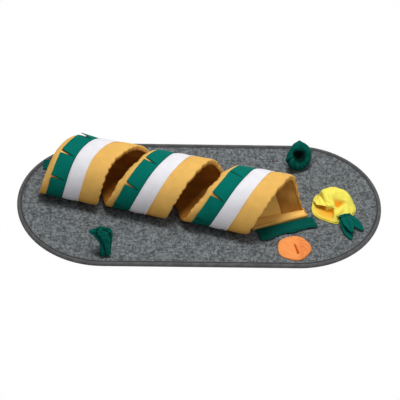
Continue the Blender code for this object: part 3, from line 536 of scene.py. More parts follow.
def node_group(name):
    """A geometry tree with named numbers and a finish as its inputs."""
    group = bpy.data.node_groups.new(name, "GeometryNodeTree")
    build, labels = GROUPS[name]
    for label, way, kind in (("Geometry", "INPUT", "Geometry"), ("Geometry", "OUTPUT", "Geometry"),
                             *((label, "INPUT", "Float") for label in labels), ("Finish", "INPUT", "Material")):
        group.interface.new_socket(name=label, in_out=way, socket_type="NodeSocket" + kind)
    tree = Tree(group)
    entry = group.nodes.new("NodeGroupInput")
    given = {socket.name: Value(tree, socket) for socket in entry.outputs if socket.name}
    finished = tree.add("GeometryNodeSetMaterial", None, build(tree, given), Material=given["Finish"])
    tree.add("NodeGroupOutput", None, finished)
    return group


def run_group(item, name, *values):
    """Put a tree on an object with its numbers and its finish, and settle it."""
    group = bpy.data.node_groups.get(name) or node_group(name)
    modifier = item.modifiers.new(name, "NODES")
    modifier.node_group = group
    sockets = [socket for socket in group.interface.items_tree if socket.in_out == "INPUT"][1:]
    for socket, value in zip(sockets, values):
        modifier[socket.identifier] = value
    return settle(item)


def line_piece(name, points, closed=False):
    """An object whose mesh is one line of edges, for a tree to follow."""
    count = len(points)
    mesh = bpy.data.meshes.new(name)
    mesh.from_pydata(np.asarray(points).tolist(), [(spot, (spot + 1) % count) for spot in range(count - (not closed))],
                     [])
    return link(name, mesh)


def sew(name, points, body, slot, finish, pitch, length, width, closed=False):
    """A row of stitches that rides on a body."""
    return dress(run_group(line_piece(name, points, closed), "stitch_row", pitch, length, width, finish), body, slot)


def dress(item, body, slot, *nodes):
    """Rides on a body and stands for CAD nodes; the slot is not used."""
    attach(item, body)
    if nodes:
        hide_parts(*nodes)
    return item


# Mat shapes

def outline(inset, height=0.0):
    """Points round the mat's outline, drawn in by an inset."""
    radius = MAT_WIDTH / 2 - inset
    straight = (MAT_LENGTH - MAT_WIDTH) / 2
    points = []
    for side in (1, -1):
        for step in range(OUTLINE_STEPS + 1):
            angle = pi * (step / OUTLINE_STEPS - 0.5)
            points.append((side * (straight + radius * cos(angle)), side * radius * sin(angle), height))
        for step in range(1, 40):
            share = step / 40
            points.append((side * straight * (1 - 2 * share), side * radius, height))
    return np.array(points)


def ring_body(name, profile, finish, closed, bend, numbers=None):
    """A body from nested outlines, each with an inset and a height."""
    rings = bend(np.array([outline(inset, height) for inset, height in profile]))
    faces = grid_faces(*rings.shape[:2], around=True, ring=closed, capped=not closed)
    return new_piece(name, rings, faces, finish, flat=rings[..., :2], numbers=numbers, outward=True)


def felt_piece(settings, finish):
    """The felt: pressed down under the binding, and slightly uneven where it is open."""
    profile = [(FELT_INSET, FELT_FOOT), (FELT_INSET, FELT_EDGE_TOP), (0.0142, FELT_EDGE_TOP),
               (0.0152, FELT_TOP - 0.0016), (0.0172, FELT_TOP - 0.0012), (0.0205, FELT_TOP - 0.0004)]
    profile += [(0.0240 + 0.0075 * step, FELT_TOP) for step in range(27)]

    def bend(rings):
        x, y = rings[6:, :, 0], rings[6:, :, 1]
        waves = ripple(x, y, 0.085, 11) + 0.6 * ripple(x, y, 0.022, 12)
        rings[6:, :, 2] -= settings.felt_unevenness * np.clip(0.5 + waves / 2, 0.0, 1.6)
        return rings

    return ring_body("felt_sheet", profile, finish, False, bend)


def binding_piece(finish):
    """Tape folded over the edge, with a sewn groove near its inner side."""
    half = BINDING_TOP / 2
    profile = [(0.0140, 0.0100), (0.0140, 0.0108), (0.0128, 0.0110), (0.0116, 0.0106), (0.0108, 0.0097),
               (0.0100, 0.0103), (0.0088, 0.0110), (0.0062, 0.0113)]
    profile += [(0.0040 - 0.0040 * sin(pi * step / 10), half + half * cos(pi * step / 10)) for step in range(11)]
    profile += [(0.0088, 0.0), (0.0140, 0.0), (0.0140, 0.0011), (0.0031, 0.0011), (0.0031, 0.0094),
                (0.0100, 0.0094), (0.0108, 0.0093), (0.0120, 0.0096)]
    # Painted shade in the sewn groove, and a little at the tape's inner edge
    dark = np.array([0.2, 0.0, 0.1, 0.6, 1.0, 0.6] + [0.0] * (len(profile) - 6))

    def bend(rings):
        arc = np.arange(rings.shape[1])
        ripples = 0.00022 * np.sin(arc * 1.9) + 0.00022 * np.sin(arc * 0.83 + 1.0)
        rings[1:8, :, 2] += ripples * np.array([0.3, 0.5, 0.6, 0.0, 0.7, 1.0, 0.8])[:, None]
        return rings

    return ring_body("binding_tape", profile, finish, True, bend, {"seam": np.repeat(dark, len(outline(0.0)))})


# Tunnel rule

def arch_sections():
    """The arch section's side and height, and the length of arc up to each of its points."""
    angle = pi - tau * np.arange(ARCH_SAMPLES + 1) / ARCH_SAMPLES
    exponent = np.where(angle >= 0, 2 / ARCH_TOP_POWER, 2 / ARCH_FOOT_POWER)
    side, rise = (np.sign(part) * np.abs(part) ** exponent for part in (np.cos(angle), np.sin(angle)))
    height = ARCH_WIDEST + np.where(angle >= 0, ARCH_HEIGHT - ARCH_WIDEST, ARCH_WIDEST) * rise
    lean = ARCH_LEAN * np.maximum(0.0, height - ARCH_WIDEST) / (ARCH_HEIGHT - ARCH_WIDEST)
    side = side * ARCH_WIDTH / 2 + lean
    arcs = np.concatenate([[0.0], np.cumsum(np.hypot(np.diff(side), np.diff(height)))])
    return side, height, arcs


ARCH_SIDES, ARCH_HEIGHTS, ARCH_ARCS = arch_sections()
TURN_ARC = float(ARCH_ARCS[-1])
START_ARC = float(TURN_SHARES[0]) * TURN_ARC
FOLD_ARC = FOLD_TURN_SHARE * TURN_ARC
RAMP_START = FOLD_ARC - RAMP_ARC
END_ARC = FOLD_ARC + PANEL_DEPTH
RIBBON_LENGTH = END_ARC - START_ARC


def advance(arc):
    """Place along the tunnel of the ribbon's centre line, and its slope."""
    last = len(TURN_SHARES) - 1
    keys = np.arange(last + 1)
    after, before = np.minimum(keys + 1, last), np.maximum(keys - 1, 0)
    slopes = (ADVANCES[after] - ADVANCES[before]) / (TURN_SHARES[after] - TURN_SHARES[before])
    share = arc / TURN_ARC
    key = np.clip(np.searchsorted(TURN_SHARES, share, side="left") - 1, 0, last - 1)
    low, high = TURN_SHARES[key], TURN_SHARES[key + 1]
    step = (share - low) / (high - low)
    start, end, rise, fall = ADVANCES[key], ADVANCES[key + 1], slopes[key], slopes[key + 1]
    place = cubic(step, start, end, (high - low) * rise, (high - low) * fall)
    slope = ((6 * step ** 2 - 6 * step) * (start - end) / (high - low) + (3 * step ** 2 - 4 * step + 1) * rise
             + (3 * step ** 2 - 2 * step) * fall)
    place = np.where(step > 1, end + (share - high) * fall, np.where(step < 0, start + (share - low) * rise, place))
    slope = np.where(step > 1, fall, np.where(step < 0, rise, slope))
    return place, slope / TURN_ARC


def wound(arc, across):
    """Points of the ribbon's outside where it follows the arch section."""
    place, slope = advance(arc)
    heading = np.arctan2(slope, 1.0)
    offset = across - RIBBON_WIDTH / 2
    along = np.mod(arc - offset * np.sin(heading), TURN_ARC)
    return stack(place + offset * np.cos(heading), np.interp(along, ARCH_ARCS, ARCH_SIDES),
                 np.interp(along, ARCH_ARCS, ARCH_HEIGHTS))


def folded(across, beyond):
    """Points of the fold line on the felt, or of the flat panel beyond it."""
    left, right = np.array(FOLD_LEFT), np.array(FOLD_RIGHT)
    along = right - left
    out = np.array((along[1], -along[0])) / np.linalg.norm(along)
    flat = left + along * (across / RIBBON_WIDTH)[..., None] + out * beyond[..., None]
    return stack(flat[..., 0], flat[..., 1], 0.0)


def skin(arc, across):
    """Points of the ribbon's outside, with the ramp and the flat panel at its end."""
    arc, across = np.broadcast_arrays(np.asarray(arc, float), np.asarray(across, float))
    ramp = (arc - RAMP_START) / RAMP_ARC
    straight = wound(np.full_like(arc, RAMP_START), across)
    straight = straight + (folded(across, np.zeros_like(arc)) - straight) * np.clip(ramp, 0, 1)[..., None]
    natural = wound(arc, across)
    points = natural + (straight - natural) * smooth_step(ramp)[..., None]
    return np.where((arc >= FOLD_ARC)[..., None], folded(across, np.maximum(arc - FOLD_ARC, 0.0)), points)


def skin_frame(arc, across):
    """Points of the outside and the directions out of the ribbon there."""
    reach, aside = RIBBON_WIDTH / 27, RIBBON_WIDTH / 80
    along = skin(arc + reach, across) - skin(arc - reach, across)
    cross = skin(arc, across + aside) - skin(arc, across - aside)
    outward = np.cross(cross, along)
    return skin(arc, across), outward / np.linalg.norm(outward, axis=-1, keepdims=True)


def gathered(arc, across):
    """Place across the ribbon after its first end is gathered in from the left."""
    start = smooth_step(1 - (arc - START_ARC) / START_GATHER_ARC)
    return across + START_GATHER * start * (1 - across / RIBBON_WIDTH)


def scallop(arc):
    """How far the gathered hem stands out: 0 at a pinch, 1 between two."""
    return np.abs(np.sin(pi * arc / 0.0245 + 1.8 * ripple(arc, arc * 0, 0.06, 22, 3)))


def hem_places(arc, across):
    """Moves the two free edges in and out: a soft wave at the left, small gathers at the right."""
    left = np.clip(1 - across / 0.030, 0, 1) ** 2
    right = np.clip((across - 0.138) / (RIBBON_WIDTH - 0.138), 0, 1) ** 2
    loose = smooth_step((arc - 0.35 * TURN_ARC) / 0.08) * smooth_step((FOLD_ARC - 0.02 - arc) / 0.05)
    wave = loose * (0.0026 * ripple(arc, arc * 0, 0.045, 21, 4) + 0.0013 * ripple(arc, arc * 0, 0.016, 23, 3))
    gathers = 0.0034 * (scallop(arc) ** 0.8 - 0.66) * smooth_step((FOLD_ARC - arc) / 0.03)
    return gathered(arc, across + wave * left + gathers * right)


def edge_roll(across, height):
    lift = smooth_step((height - ROLL_HEIGHTS[0]) / (ROLL_HEIGHTS[1] - ROLL_HEIGHTS[0]))
    return EDGE_ROLL * lift * np.clip(1 - across / LEFT_SEAM, 0, 1) ** 2


def layer(arc, across, depth=0.0):
    """Points at a depth below the ribbon's outside, the height there and the way out."""
    arc, across, depth = np.broadcast_arrays(np.asarray(arc, float), np.asarray(across, float), depth)
    points, outward = skin_frame(arc, hem_places(arc, across))
    height = points[..., 2]
    return points - outward * (depth + edge_roll(across, height))[..., None], height, outward


def turned(vectors, angle=TUNNEL_TURN):
    return vectors @ np.array(Matrix.Rotation(angle, 3, "Z")).T


def to_mat(points):
    """From the tunnel's own plan to the mat's."""
    return turned(points) + np.array(TUNNEL_PLACE)


def fade_in(height):
    """0 at the felt, 1 where the cover is free to swell."""
    return smooth_step((height - 0.001) / FADE_HEIGHT)


def foot_shade(run, height):
    """Painted shade where a turn's cover rolls under at the felt."""
    return 0.92 * (1 - smooth_step(height / 0.078)) * (run < RAMP_START)


def band_piece(name, path, columns, shadow=0.0):
    """An open cloth swept along the ribbon; path is its (across, depth) corners, evenly divided."""
    path = np.array(path)
    lengths = np.concatenate([[0.0], np.cumsum(np.hypot(*np.diff(path, axis=0).T))])
    spread = np.linspace(0.0, lengths[-1], columns)
    across, depth = np.interp(spread, lengths, path[:, 0]), np.interp(spread, lengths, path[:, 1])
    arcs = np.linspace(START_ARC, END_ARC, int(round(RIBBON_LENGTH / STATION_STEP)) + 1)
    run, side = grid(arcs, across)
    points, height, outward = layer(run, side, depth)
    share = np.broadcast_to(spread / lengths[-1], run.shape)
    # Painted shadow along the band's seams, and painted shade at the foot
    seam = shadow * close_to(np.minimum(share, 1 - share) * lengths[-1], HEM)
    return new_piece(name, to_mat(points), grid_faces(*run.shape), flat=stack(run, side), numbers={
        "share": share, "fade": fade_in(height), "run": run, "side": side,
        "seam": np.maximum(seam, foot_shade(run, height)), "outward": turned(outward)})


def lining_piece():
    """The cloth inside: painted shade deep in the turns, and painted light with painted crease shade where the ramp
    opens it.
    """
    item = band_piece("tunnel_lining_cloth", [(0.0012, LINING_OUT), (RIBBON_WIDTH - 0.0012, LINING_OUT)], 44)
    mesh = item.data
    run, side = numbers_of(mesh, "run"), numbers_of(mesh, "side")
    # Painted light on the ramp left of the crease and on the flat panel, unevenly, with painted shade on the crease and
    # the fold line
    lit = 0.24 + 0.76 * smooth_step((CREASE_SIDE - side) / 0.004)
    lit = np.maximum(lit * smooth_step((run - RAMP_START) / 0.05), run > FOLD_ARC)
    lit = lit + 0.11 * ripple(run, side * 0.35, 0.034, 45, 4) * (run < FOLD_ARC)
    crease_shade = bump(side, CREASE_SIDE, 0.0022) * (run > FOLD_ARC - 0.10) * (run < FOLD_ARC)
    set_numbers(mesh, "seam", np.clip(lit - 0.8 * crease_shade - 0.75 * bump(run, FOLD_ARC, 0.0026), 0, 1))
    set_numbers(mesh, "fade", 1 - smooth_step((run - FOLD_ARC + 0.02) / 0.02) * 0.8)
    set_numbers(mesh, "outward", -numbers_of(mesh, "outward", 3))
    mesh.flip_normals()
    return item


def wide_piece():
    """The wide band, folded round the right hem, with painted shade in the pinches along it and on the part turned in.
    """
    path = [(WHITE_SEAM + BAND_GAP, 0.0002), (WHITE_SEAM + 0.004, 0.0), (RIBBON_WIDTH - HEM, 0.0),
            (RIBBON_WIDTH - HEM * 0.35, 0.0007), (RIBBON_WIDTH, HEM), (RIBBON_WIDTH + 0.0002, 0.007),
            (RIBBON_WIDTH - 0.0004, LINING_IN), (RIBBON_WIDTH - 0.0016, LINING_IN + 0.0012),
            (RIBBON_WIDTH - 0.0040, LINING_IN + 0.0014)]
    item = band_piece("mustard_band_cloth", path, 44)
    run, side, dark, share = (numbers_of(item.data, key) for key in ("run", "side", "seam", "share"))
    near = np.clip((side - (RIBBON_WIDTH - 0.0035)) / 0.0035, 0, 1)
    # Painted shade in the gathers' pinches and on the hem turned in under the band
    pinch = 0.34 * (1 - scallop(run)) ** 2 * near + 0.05 * near + 0.42 * smooth_step((share - 0.80) / 0.06)
    set_numbers(item.data, "seam", np.clip(np.maximum(dark, pinch), 0, 1))
    return item


def green_piece(lift):
    """The green band, cut into flaps from its left side, each corner lifted a little."""
    start, end = LEFT_SEAM + BAND_GAP, GREEN_SEAM - BAND_GAP
    across = np.linspace(start, end, 19)
    tip = across[SLIT_COLUMNS]
    stops = [START_ARC, *SLIT_ARCS, END_ARC]
    opened = [0.0, *SLIT_OPEN_SHARES, 0.0]
    last = len(stops) - 2
    draw = np.random.default_rng(31)
    points, faces, flats, numbers = [], [], [], {}
    base = 0
    for index, (low, high) in enumerate(zip(stops, stops[1:])):
        run, side = grid(np.linspace(low, high, max(int((high - low) / STATION_STEP), 2) + 1), across)
        cut = close_to(side - start, tip - start)
        near, far = bump(run, low, SLIT_REACH) * (index > 0), bump(run, high, SLIT_REACH) * (index < last)
        moved = run + SLIT_MOUTH * cut * (opened[index] * near - opened[index + 1] * far)
        raised = lift * cut ** 1.5 * (near * draw.uniform(0.2, 0.8) + far * draw.uniform(0.1, 0.5))
        if index == NOTCH_SLIT:
            raised = raised + NOTCH_LIFT * cut ** 0.5 * bump(run, low, 0.027)
        body, height, outward = layer(moved, side)
        fade = fade_in(height)
        share = (side - start) / (end - start)
        free = np.maximum(near, far) * cut
        rim = np.minimum(run - low + (index == 0), high - run + (index == last))
        # Painted shade along the slit edges and beside the seam with the white band
        dark = np.maximum(0.75 * close_to(end - side, HEM), close_to(rim, 0.0025) * (side < tip + 0.003) * 0.8)
        points.append(to_mat(body + outward * (raised * fade)[..., None]).reshape(-1, 3))
        flats.append(stack(run, side).reshape(-1, 2))
        for key, value in {"share": np.where(share < 0.5, 0.5 - (0.5 - share) * (1 - free), share), "fade": fade,
                           "run": run, "side": side, "seam": np.maximum(dark, foot_shade(run, height)),
                           "outward": turned(outward)}.items():
            numbers.setdefault(key, []).append(value.ravel())
        faces += grid_faces(*run.shape, base=base)
        base += run.size
    item = new_piece("green_band_cloth", np.concatenate(points), faces, flat=np.concatenate(flats),
                     numbers={key: np.concatenate(value) for key, value in numbers.items()})
    join_points(item.data, 0.00002, False)
    return item


def filling_piece(finish):
    """The wadding inside the covers, a closed flat roll."""
    across = np.linspace(0.0030, RIBBON_WIDTH - 0.0030, 16)
    run, side = grid(np.linspace(START_ARC + 0.001, END_ARC - 0.001, 320), np.concatenate([across, across[::-1]]))
    points, _, _ = layer(run, side, np.repeat((PADDING_OUT + 0.0008, PADDING_IN), len(across)))
    return new_piece("tunnel_filling", to_mat(points), grid_faces(*run.shape, around=True, capped=True), finish,
                     flat=stack(run, side), outward=True)


def end_piece(name, arc, way, finish):
    """The strip of cover that closes the ribbon at one end."""
    path = np.array([(-0.0060, LINING_IN + 0.0004), (-0.0030, LINING_IN + 0.0009), (0.0002, LINING_IN + 0.0006),
                     (0.0007, LINING_IN - 0.0010), (0.0007, 0.0080), (0.0004, 0.0055), (0.0001, 0.0042),
                     (0.0001, 0.0012)])
    reach, side = grid(path[:, 0], np.linspace(0.001, RIBBON_WIDTH - 0.001, 60))
    depth = path[:, 1][:, None]
    wobble = 0.0004 * ripple(side, reach, 0.02, 41)
    points, _, _ = layer(arc + way * reach, side, depth + wobble * (depth > 0.006))
    item = new_piece(name, to_mat(points), grid_faces(*reach.shape), finish, flat=stack(side, reach + depth),
                     numbers={"seam": np.zeros(reach.shape)})
    if way > 0:
        item.data.flip_normals()
    return thicken(item, 0.0008)


# Tabs

def tab_frames():
    """Corner, direction along the root and direction out of each end tab, in the tunnel's plan."""
    edges = np.array((0.0, RIBBON_WIDTH))
    places = []
    for ends, way, inset in ((folded(edges, np.full(2, PANEL_DEPTH)), 1.0, RIGHT_TAB[2]),
                             (skin(np.full(2, START_ARC), edges), -1.0, LEFT_TAB[2])):
        ends = ends * np.array((1.0, 1.0, 0.0))
        along = (ends[1] - ends[0]) / np.linalg.norm(ends[1] - ends[0])
        out = way * np.array((along[1], -along[0], 0.0))
        places.append((ends[0] + along * inset + out * TAB_ROOT_GAP, along, out))
    return places


def tab_piece(name, place, size, seed, finish, way):
    """A flat cloth tab with a loose wavy free edge. Gives the piece and the line its hem is sewn on."""
    corner, along, out = place
    length, depth, _, waviness = size
    share, reach = grid(np.linspace(0, 1, 66), np.linspace(0, 1, 18))
    free = smooth_step(reach * 1.25 - 0.25)
    wave = ripple(share * length, reach * 0, 0.062, seed, 4)
    outward = depth * reach + free * (waviness * wave + (way > 0) * spline(TAB_WAVES, share))
    points = corner + along * (share * length)[..., None] + out * outward[..., None]
    points[..., 2] = (TAB_FOOT + TAB_THICKNESS - 0.0005 * bump(reach, 0.86, 0.05)
                      + free * 0.0016 * (1 + ripple(share * length, reach * depth, 0.045, seed + 1, 5)))
    # Painted shade along the hem groove and at the root by the tunnel
    dark = 0.45 * bump(reach, 0.86, 0.04) + 0.5 * close_to(reach, 0.06)
    item = new_piece(name, to_mat(points), grid_faces(*share.shape), finish,
                     flat=stack(share * length, reach * depth), numbers={"seam": dark})
    if way < 0:
        item.data.flip_normals()
    return thicken(item, TAB_THICKNESS * 0.8), to_mat(points[:, TAB_HEM_ROW] + np.array((0, 0, 0.0002)))


# Round toys

def disc_piece(name, centre, radius_of, top, foot, finish, rings=22, sides=96):
    """A closed round body from a top height and a flat underside."""
    share, angle = grid(np.linspace(0, 1, rings + 1)[1:], tau * np.arange(sides) / sides)
    radius = radius_of(angle) * share
    x, y = radius * np.cos(angle), radius * np.sin(angle)
    shell = np.concatenate([stack(x, y, top(x, y)), stack(x[::-1], y[::-1], foot)])
    rows, count = len(shell), 2 * rings * sides
    middles = [[0, 0, float(top(np.zeros(1), np.zeros(1))[0])], [0, 0, foot]]
    points = np.concatenate([shell.reshape(-1, 3), middles]) + np.array((*centre, SEAT))
    faces = grid_faces(rows, sides, True)
    faces += [(count, side, (side + 1) % sides) for side in range(sides)]
    faces += [(count + 1, (rows - 1) * sides + (side + 1) % sides, (rows - 1) * sides + side) for side in range(sides)]
    return new_piece(name, points, faces, finish, flat=points[:, :2], outward=True)


def from_place(points, place):
    """Points measured from a toy's own place on the felt, as x, y and height."""
    return points[:, 0] - place[0], points[:, 1] - place[1], points[:, 2] - SEAT


def pouch_outline(angle):
    return POUCH_RADIUS * (1 + 0.035 * np.cos(5 * angle + pi / 4))


def pocket_share(x, y):
    """How far a place is inside the pouch's pocket: 0 outside it, 1 well inside."""
    radius, angle = np.hypot(x, y), np.mod(np.arctan2(y, x), tau)
    turn = smooth_step((angle - POCKET_ANGLES[0]) / 0.16) * smooth_step((POCKET_ANGLES[1] - angle) / 0.16)
    (rim_x, rim_y), (free_x, free_y) = FLAP_RIM[1], FLAP_FREE[1]
    edge = free_x + (y - free_y) * (rim_x - free_x) / (rim_y - free_y) - 0.004
    turn = turn * np.where(y > free_y, smooth_step((edge - x) / 0.005), 1.0)
    return turn * smooth_step((radius - POUCH_CORE + 0.002) / 0.006)


def dimple_share(x, y):
    x, y = x - DIMPLE_PLACE[0], y - DIMPLE_PLACE[1]
    angle = np.arctan2(y, x)
    corner = 1 + 0.28 * np.cos(3 * (angle - radians(10.0)))
    return 1 / (1 + ((x * x + y * y) / (0.0125 * corner) ** 2) ** 2)


def pouch_top(x, y):
    """Dome with folds that run to a three-cornered dimple, and a pocket at the left."""
    radius = np.hypot(x, y)
    share = np.minimum(radius / POUCH_RADIUS, 1.0)
    back = smooth_step((y + 0.012) / 0.050)
    height = POUCH_RIM + (POUCH_DOME - POUCH_RIM) * (1 - share ** (2.4 + 5.0 * back))
    height = height + 0.0110 * back * (1 - share ** 11) - 0.0125 * dimple_share(x, y)
    away = np.hypot(x - DIMPLE_PLACE[0], y - DIMPLE_PLACE[1])
    angle = np.arctan2(y - DIMPLE_PLACE[1], x - DIMPLE_PLACE[0])
    folds = np.abs(np.sin(3.5 * angle + 0.9 * np.sin(2 * angle) + 8.0 * share)) - 0.55
    height = height - 0.0042 * folds * smooth_step(away / 0.02) * (1 - share ** 4)
    height = height + 0.0010 * ripple(x, y, 0.020, 51)
    floor = POUCH_BASE + 0.0026
    lip = 0.0022 * smooth_step((share - 0.86) / 0.12)
    pocket = pocket_share(x, y)
    return np.maximum(height * (1 - pocket) + (floor + lip) * pocket, POUCH_BASE + 0.0012)


def flap_piece(finish):
    """The pouch's left petal: from its sewn edge at the rim up over a ridge to its free edge."""
    along, inward = grid(np.linspace(0, 1, 34), np.linspace(0, 1, 34))
    rim, free = (np.array(low) * (1 - along)[..., None] + np.array(high) * along[..., None]
                 for low, high in (FLAP_RIM, FLAP_FREE))
    plan = rim + (free - rim) * inward[..., None]
    low, start, end = FLAP_HEIGHTS
    height = low + (start + (end - start) * along - low) * inward + 0.0062 * np.sin(pi * inward ** 0.6)
    ridge = bump(along, 0.62 - 0.20 * inward, 0.10)
    height = height + 0.0026 * ridge * np.sin(pi * np.clip(inward * 0.9 + 0.08, 0, 1))
    height = height + 0.0007 * ripple(plan[..., 0], plan[..., 1], 0.016, 53)
    points = np.concatenate([plan, height[..., None]], -1) + np.array((*POUCH_PLACE, SEAT))
    # Painted shade along a crease across the petal near its far end
    return open_cloth("pouch_flap_cloth", points, finish, plan, 0.35 * bump(along, 0.88, 0.07) * (inward > 0.2))


def open_cloth(name, points, finish, flat, dark):
    """A thin cloth from a grid of points, with its face up."""
    item = new_piece(name, points, grid_faces(*dark.shape), finish, flat=flat, numbers={"seam": dark})
    if sum(face.normal.z * face.area for face in item.data.polygons) < 0:
        item.data.flip_normals()
    return thicken(item, TOY_CLOTH)


def leaf_piece(name, leaf, seed, finish, keel, cuff):
    """A folded leaf of cloth with a raised middle line and a slightly curled rim."""
    root, tip, width, heights = leaf
    start, end = np.array((*root, 0.0)), np.array((*tip, 0.0))
    ahead = (end - start) / np.linalg.norm(end - start)
    aside = np.array((-ahead[1], ahead[0], 0.0))
    share, offset = grid(np.linspace(0, 1, 40), np.linspace(-1, 1, 25))
    broad = np.where(share < 0.5, 0.62 + 0.38 * np.sin(pi * share),
                     0.16 + 0.84 * np.clip(np.sin(pi * share), 0, 1) ** 0.85)
    broad = broad + cuff * (1 - smooth_step(share / 0.16))
    lift = keel * (1 - np.abs(offset) ** 0.8) * np.sin(pi * np.clip(share * 0.9 + 0.1, 0, 1))
    lift = lift + 0.0006 * ripple(share * 0.07, offset * width / 2, 0.022, seed)
    lift = lift + cuff * 0.008 * bump(share, 0.10, 0.05)
    middle = np.interp(share, np.linspace(0, 1, len(heights)), heights)
    points = start + (end - start) * share[..., None] + aside * (offset * broad * width / 2)[..., None]
    points[..., 2] = SEAT + np.maximum(middle + lift + 0.0016, 0.0018)
    # Painted shade along the folded middle line and in the cuff's curl
    dark = 0.55 * bump(offset, 0.0, 0.10) * (share > 0.12) + 0.7 * cuff * bump(share, 0.18, 0.03)
    return open_cloth(name, points, finish, stack(share * 0.07, offset * width / 2), np.clip(dark, 0, 1))


def orange_outline(angle):
    return ORANGE_RADIUS * (1 + 0.025 * np.cos(5 * angle))


def slot_share(x, y):
    """How near a place is to the orange pocket's slit, from 0 to 1."""
    (ax, ay), (bx, by) = SLOT_ENDS
    length = sqrt((bx - ax) ** 2 + (by - ay) ** 2)
    ux, uy = (bx - ax) / length, (by - ay) / length
    run = (x - ax) * ux + (y - ay) * uy
    off = np.abs((x - ax) * -uy + (y - ay) * ux)
    inside = smooth_step((run + 0.002) / 0.004) * smooth_step((length + 0.002 - run) / 0.004)
    return inside * np.exp(-(off / 0.0027) ** 2)


def orange_top(x, y):
    share = np.minimum(np.hypot(x, y) / ORANGE_RADIUS, 1.0)
    angle = np.arctan2(y, x)
    height = ORANGE_RIM + (ORANGE_DOME - ORANGE_RIM) * (1 - share ** 4)
    right = smooth_step((x - 0.002) / 0.01)
    height = height + 0.0024 * right * np.sin(pi * share) * (0.4 + np.cos(11 * angle + 9 * share))
    height = height + 0.0012 * np.exp(-((np.abs(x - 0.005) - 0.004) / 0.004) ** 2) * (share < 0.9)
    height = height + 0.0005 * ripple(x, y, 0.014, 61)
    return np.maximum(height - 0.0042 * slot_share(x, y), ORANGE_BASE + 0.0008)


# Standing strips

def knot_piece(finish):
    """A strip folded on itself: a wide folded top, a narrow waist and a foot that spreads, with deep creases."""
    share, angle = grid(np.linspace(0, 1, 110), tau * np.arange(120) / 120)
    ahead, aside, height = (spline(keys, share) for keys in (
        (0.0020, 0.0025, 0.0040, 0.0030, -0.0030, -0.0080, -0.0110),
        (-0.0030, 0.0, 0.0040, 0.0110, 0.0180, 0.0220, 0.0240), (0.0006, 0.010, 0.026, 0.042, 0.058, 0.070, 0.079)))
    width = spline((0.0042, 0.0185, 0.0165, 0.0195, 0.0265, 0.0285, 0.0130), share)
    depth = spline((0.0040, 0.0135, 0.0115, 0.0130, 0.0150, 0.0140, 0.0050), share)
    turn = radians(25.0) * smooth_step(share)
    lobes = np.abs(np.cos(2.0 * angle + 4.2 * share + 0.7 * np.sin(5.0 * share))) ** 0.6
    cross = np.abs(np.sin(3.0 * angle - 9.0 * share)) ** 0.7
    fine = ripple(angle * 0.014, share * 0.08, 0.012, 71)
    left_tip = bump(share, 0.86, 0.09) * np.clip(np.cos(angle - pi), 0, 1) ** 6
    fullness = 0.66 + 0.30 * lobes + 0.10 * cross * share + 0.05 * fine + 0.28 * left_tip
    x, y = width * fullness * np.cos(angle), depth * fullness * np.sin(angle)
    points = stack(ahead + x * np.cos(turn) - y * np.sin(turn) * 0.4,
                   aside + x * np.sin(turn) * 0.4 + y * np.cos(turn * 0.4),
                   np.maximum(height, 0.0006) + 0.0016 * fine * (share > 0.05)
                   - bump(share, 0.98, 0.10) * 0.006 * (1 - lobes))
    # Painted shade in the creases between the lobes and folds, and in a band near the foot
    dark = np.maximum(np.clip(1.38 - 1.9 * lobes, 0, 0.98), np.clip(0.9 - 2.2 * cross, 0, 0.7) * share)
    dark = np.maximum(dark * smooth_step(share * 8), 0.6 * bump(share, 0.12, 0.05))
    return new_piece("twisted_strip", points + np.array((*KNOT_PLACE, SEAT)),
                     grid_faces(*share.shape, around=True, capped=True), finish,
                     flat=stack(angle * 0.015, share * 0.08), numbers={"seam": dark}, outward=True)


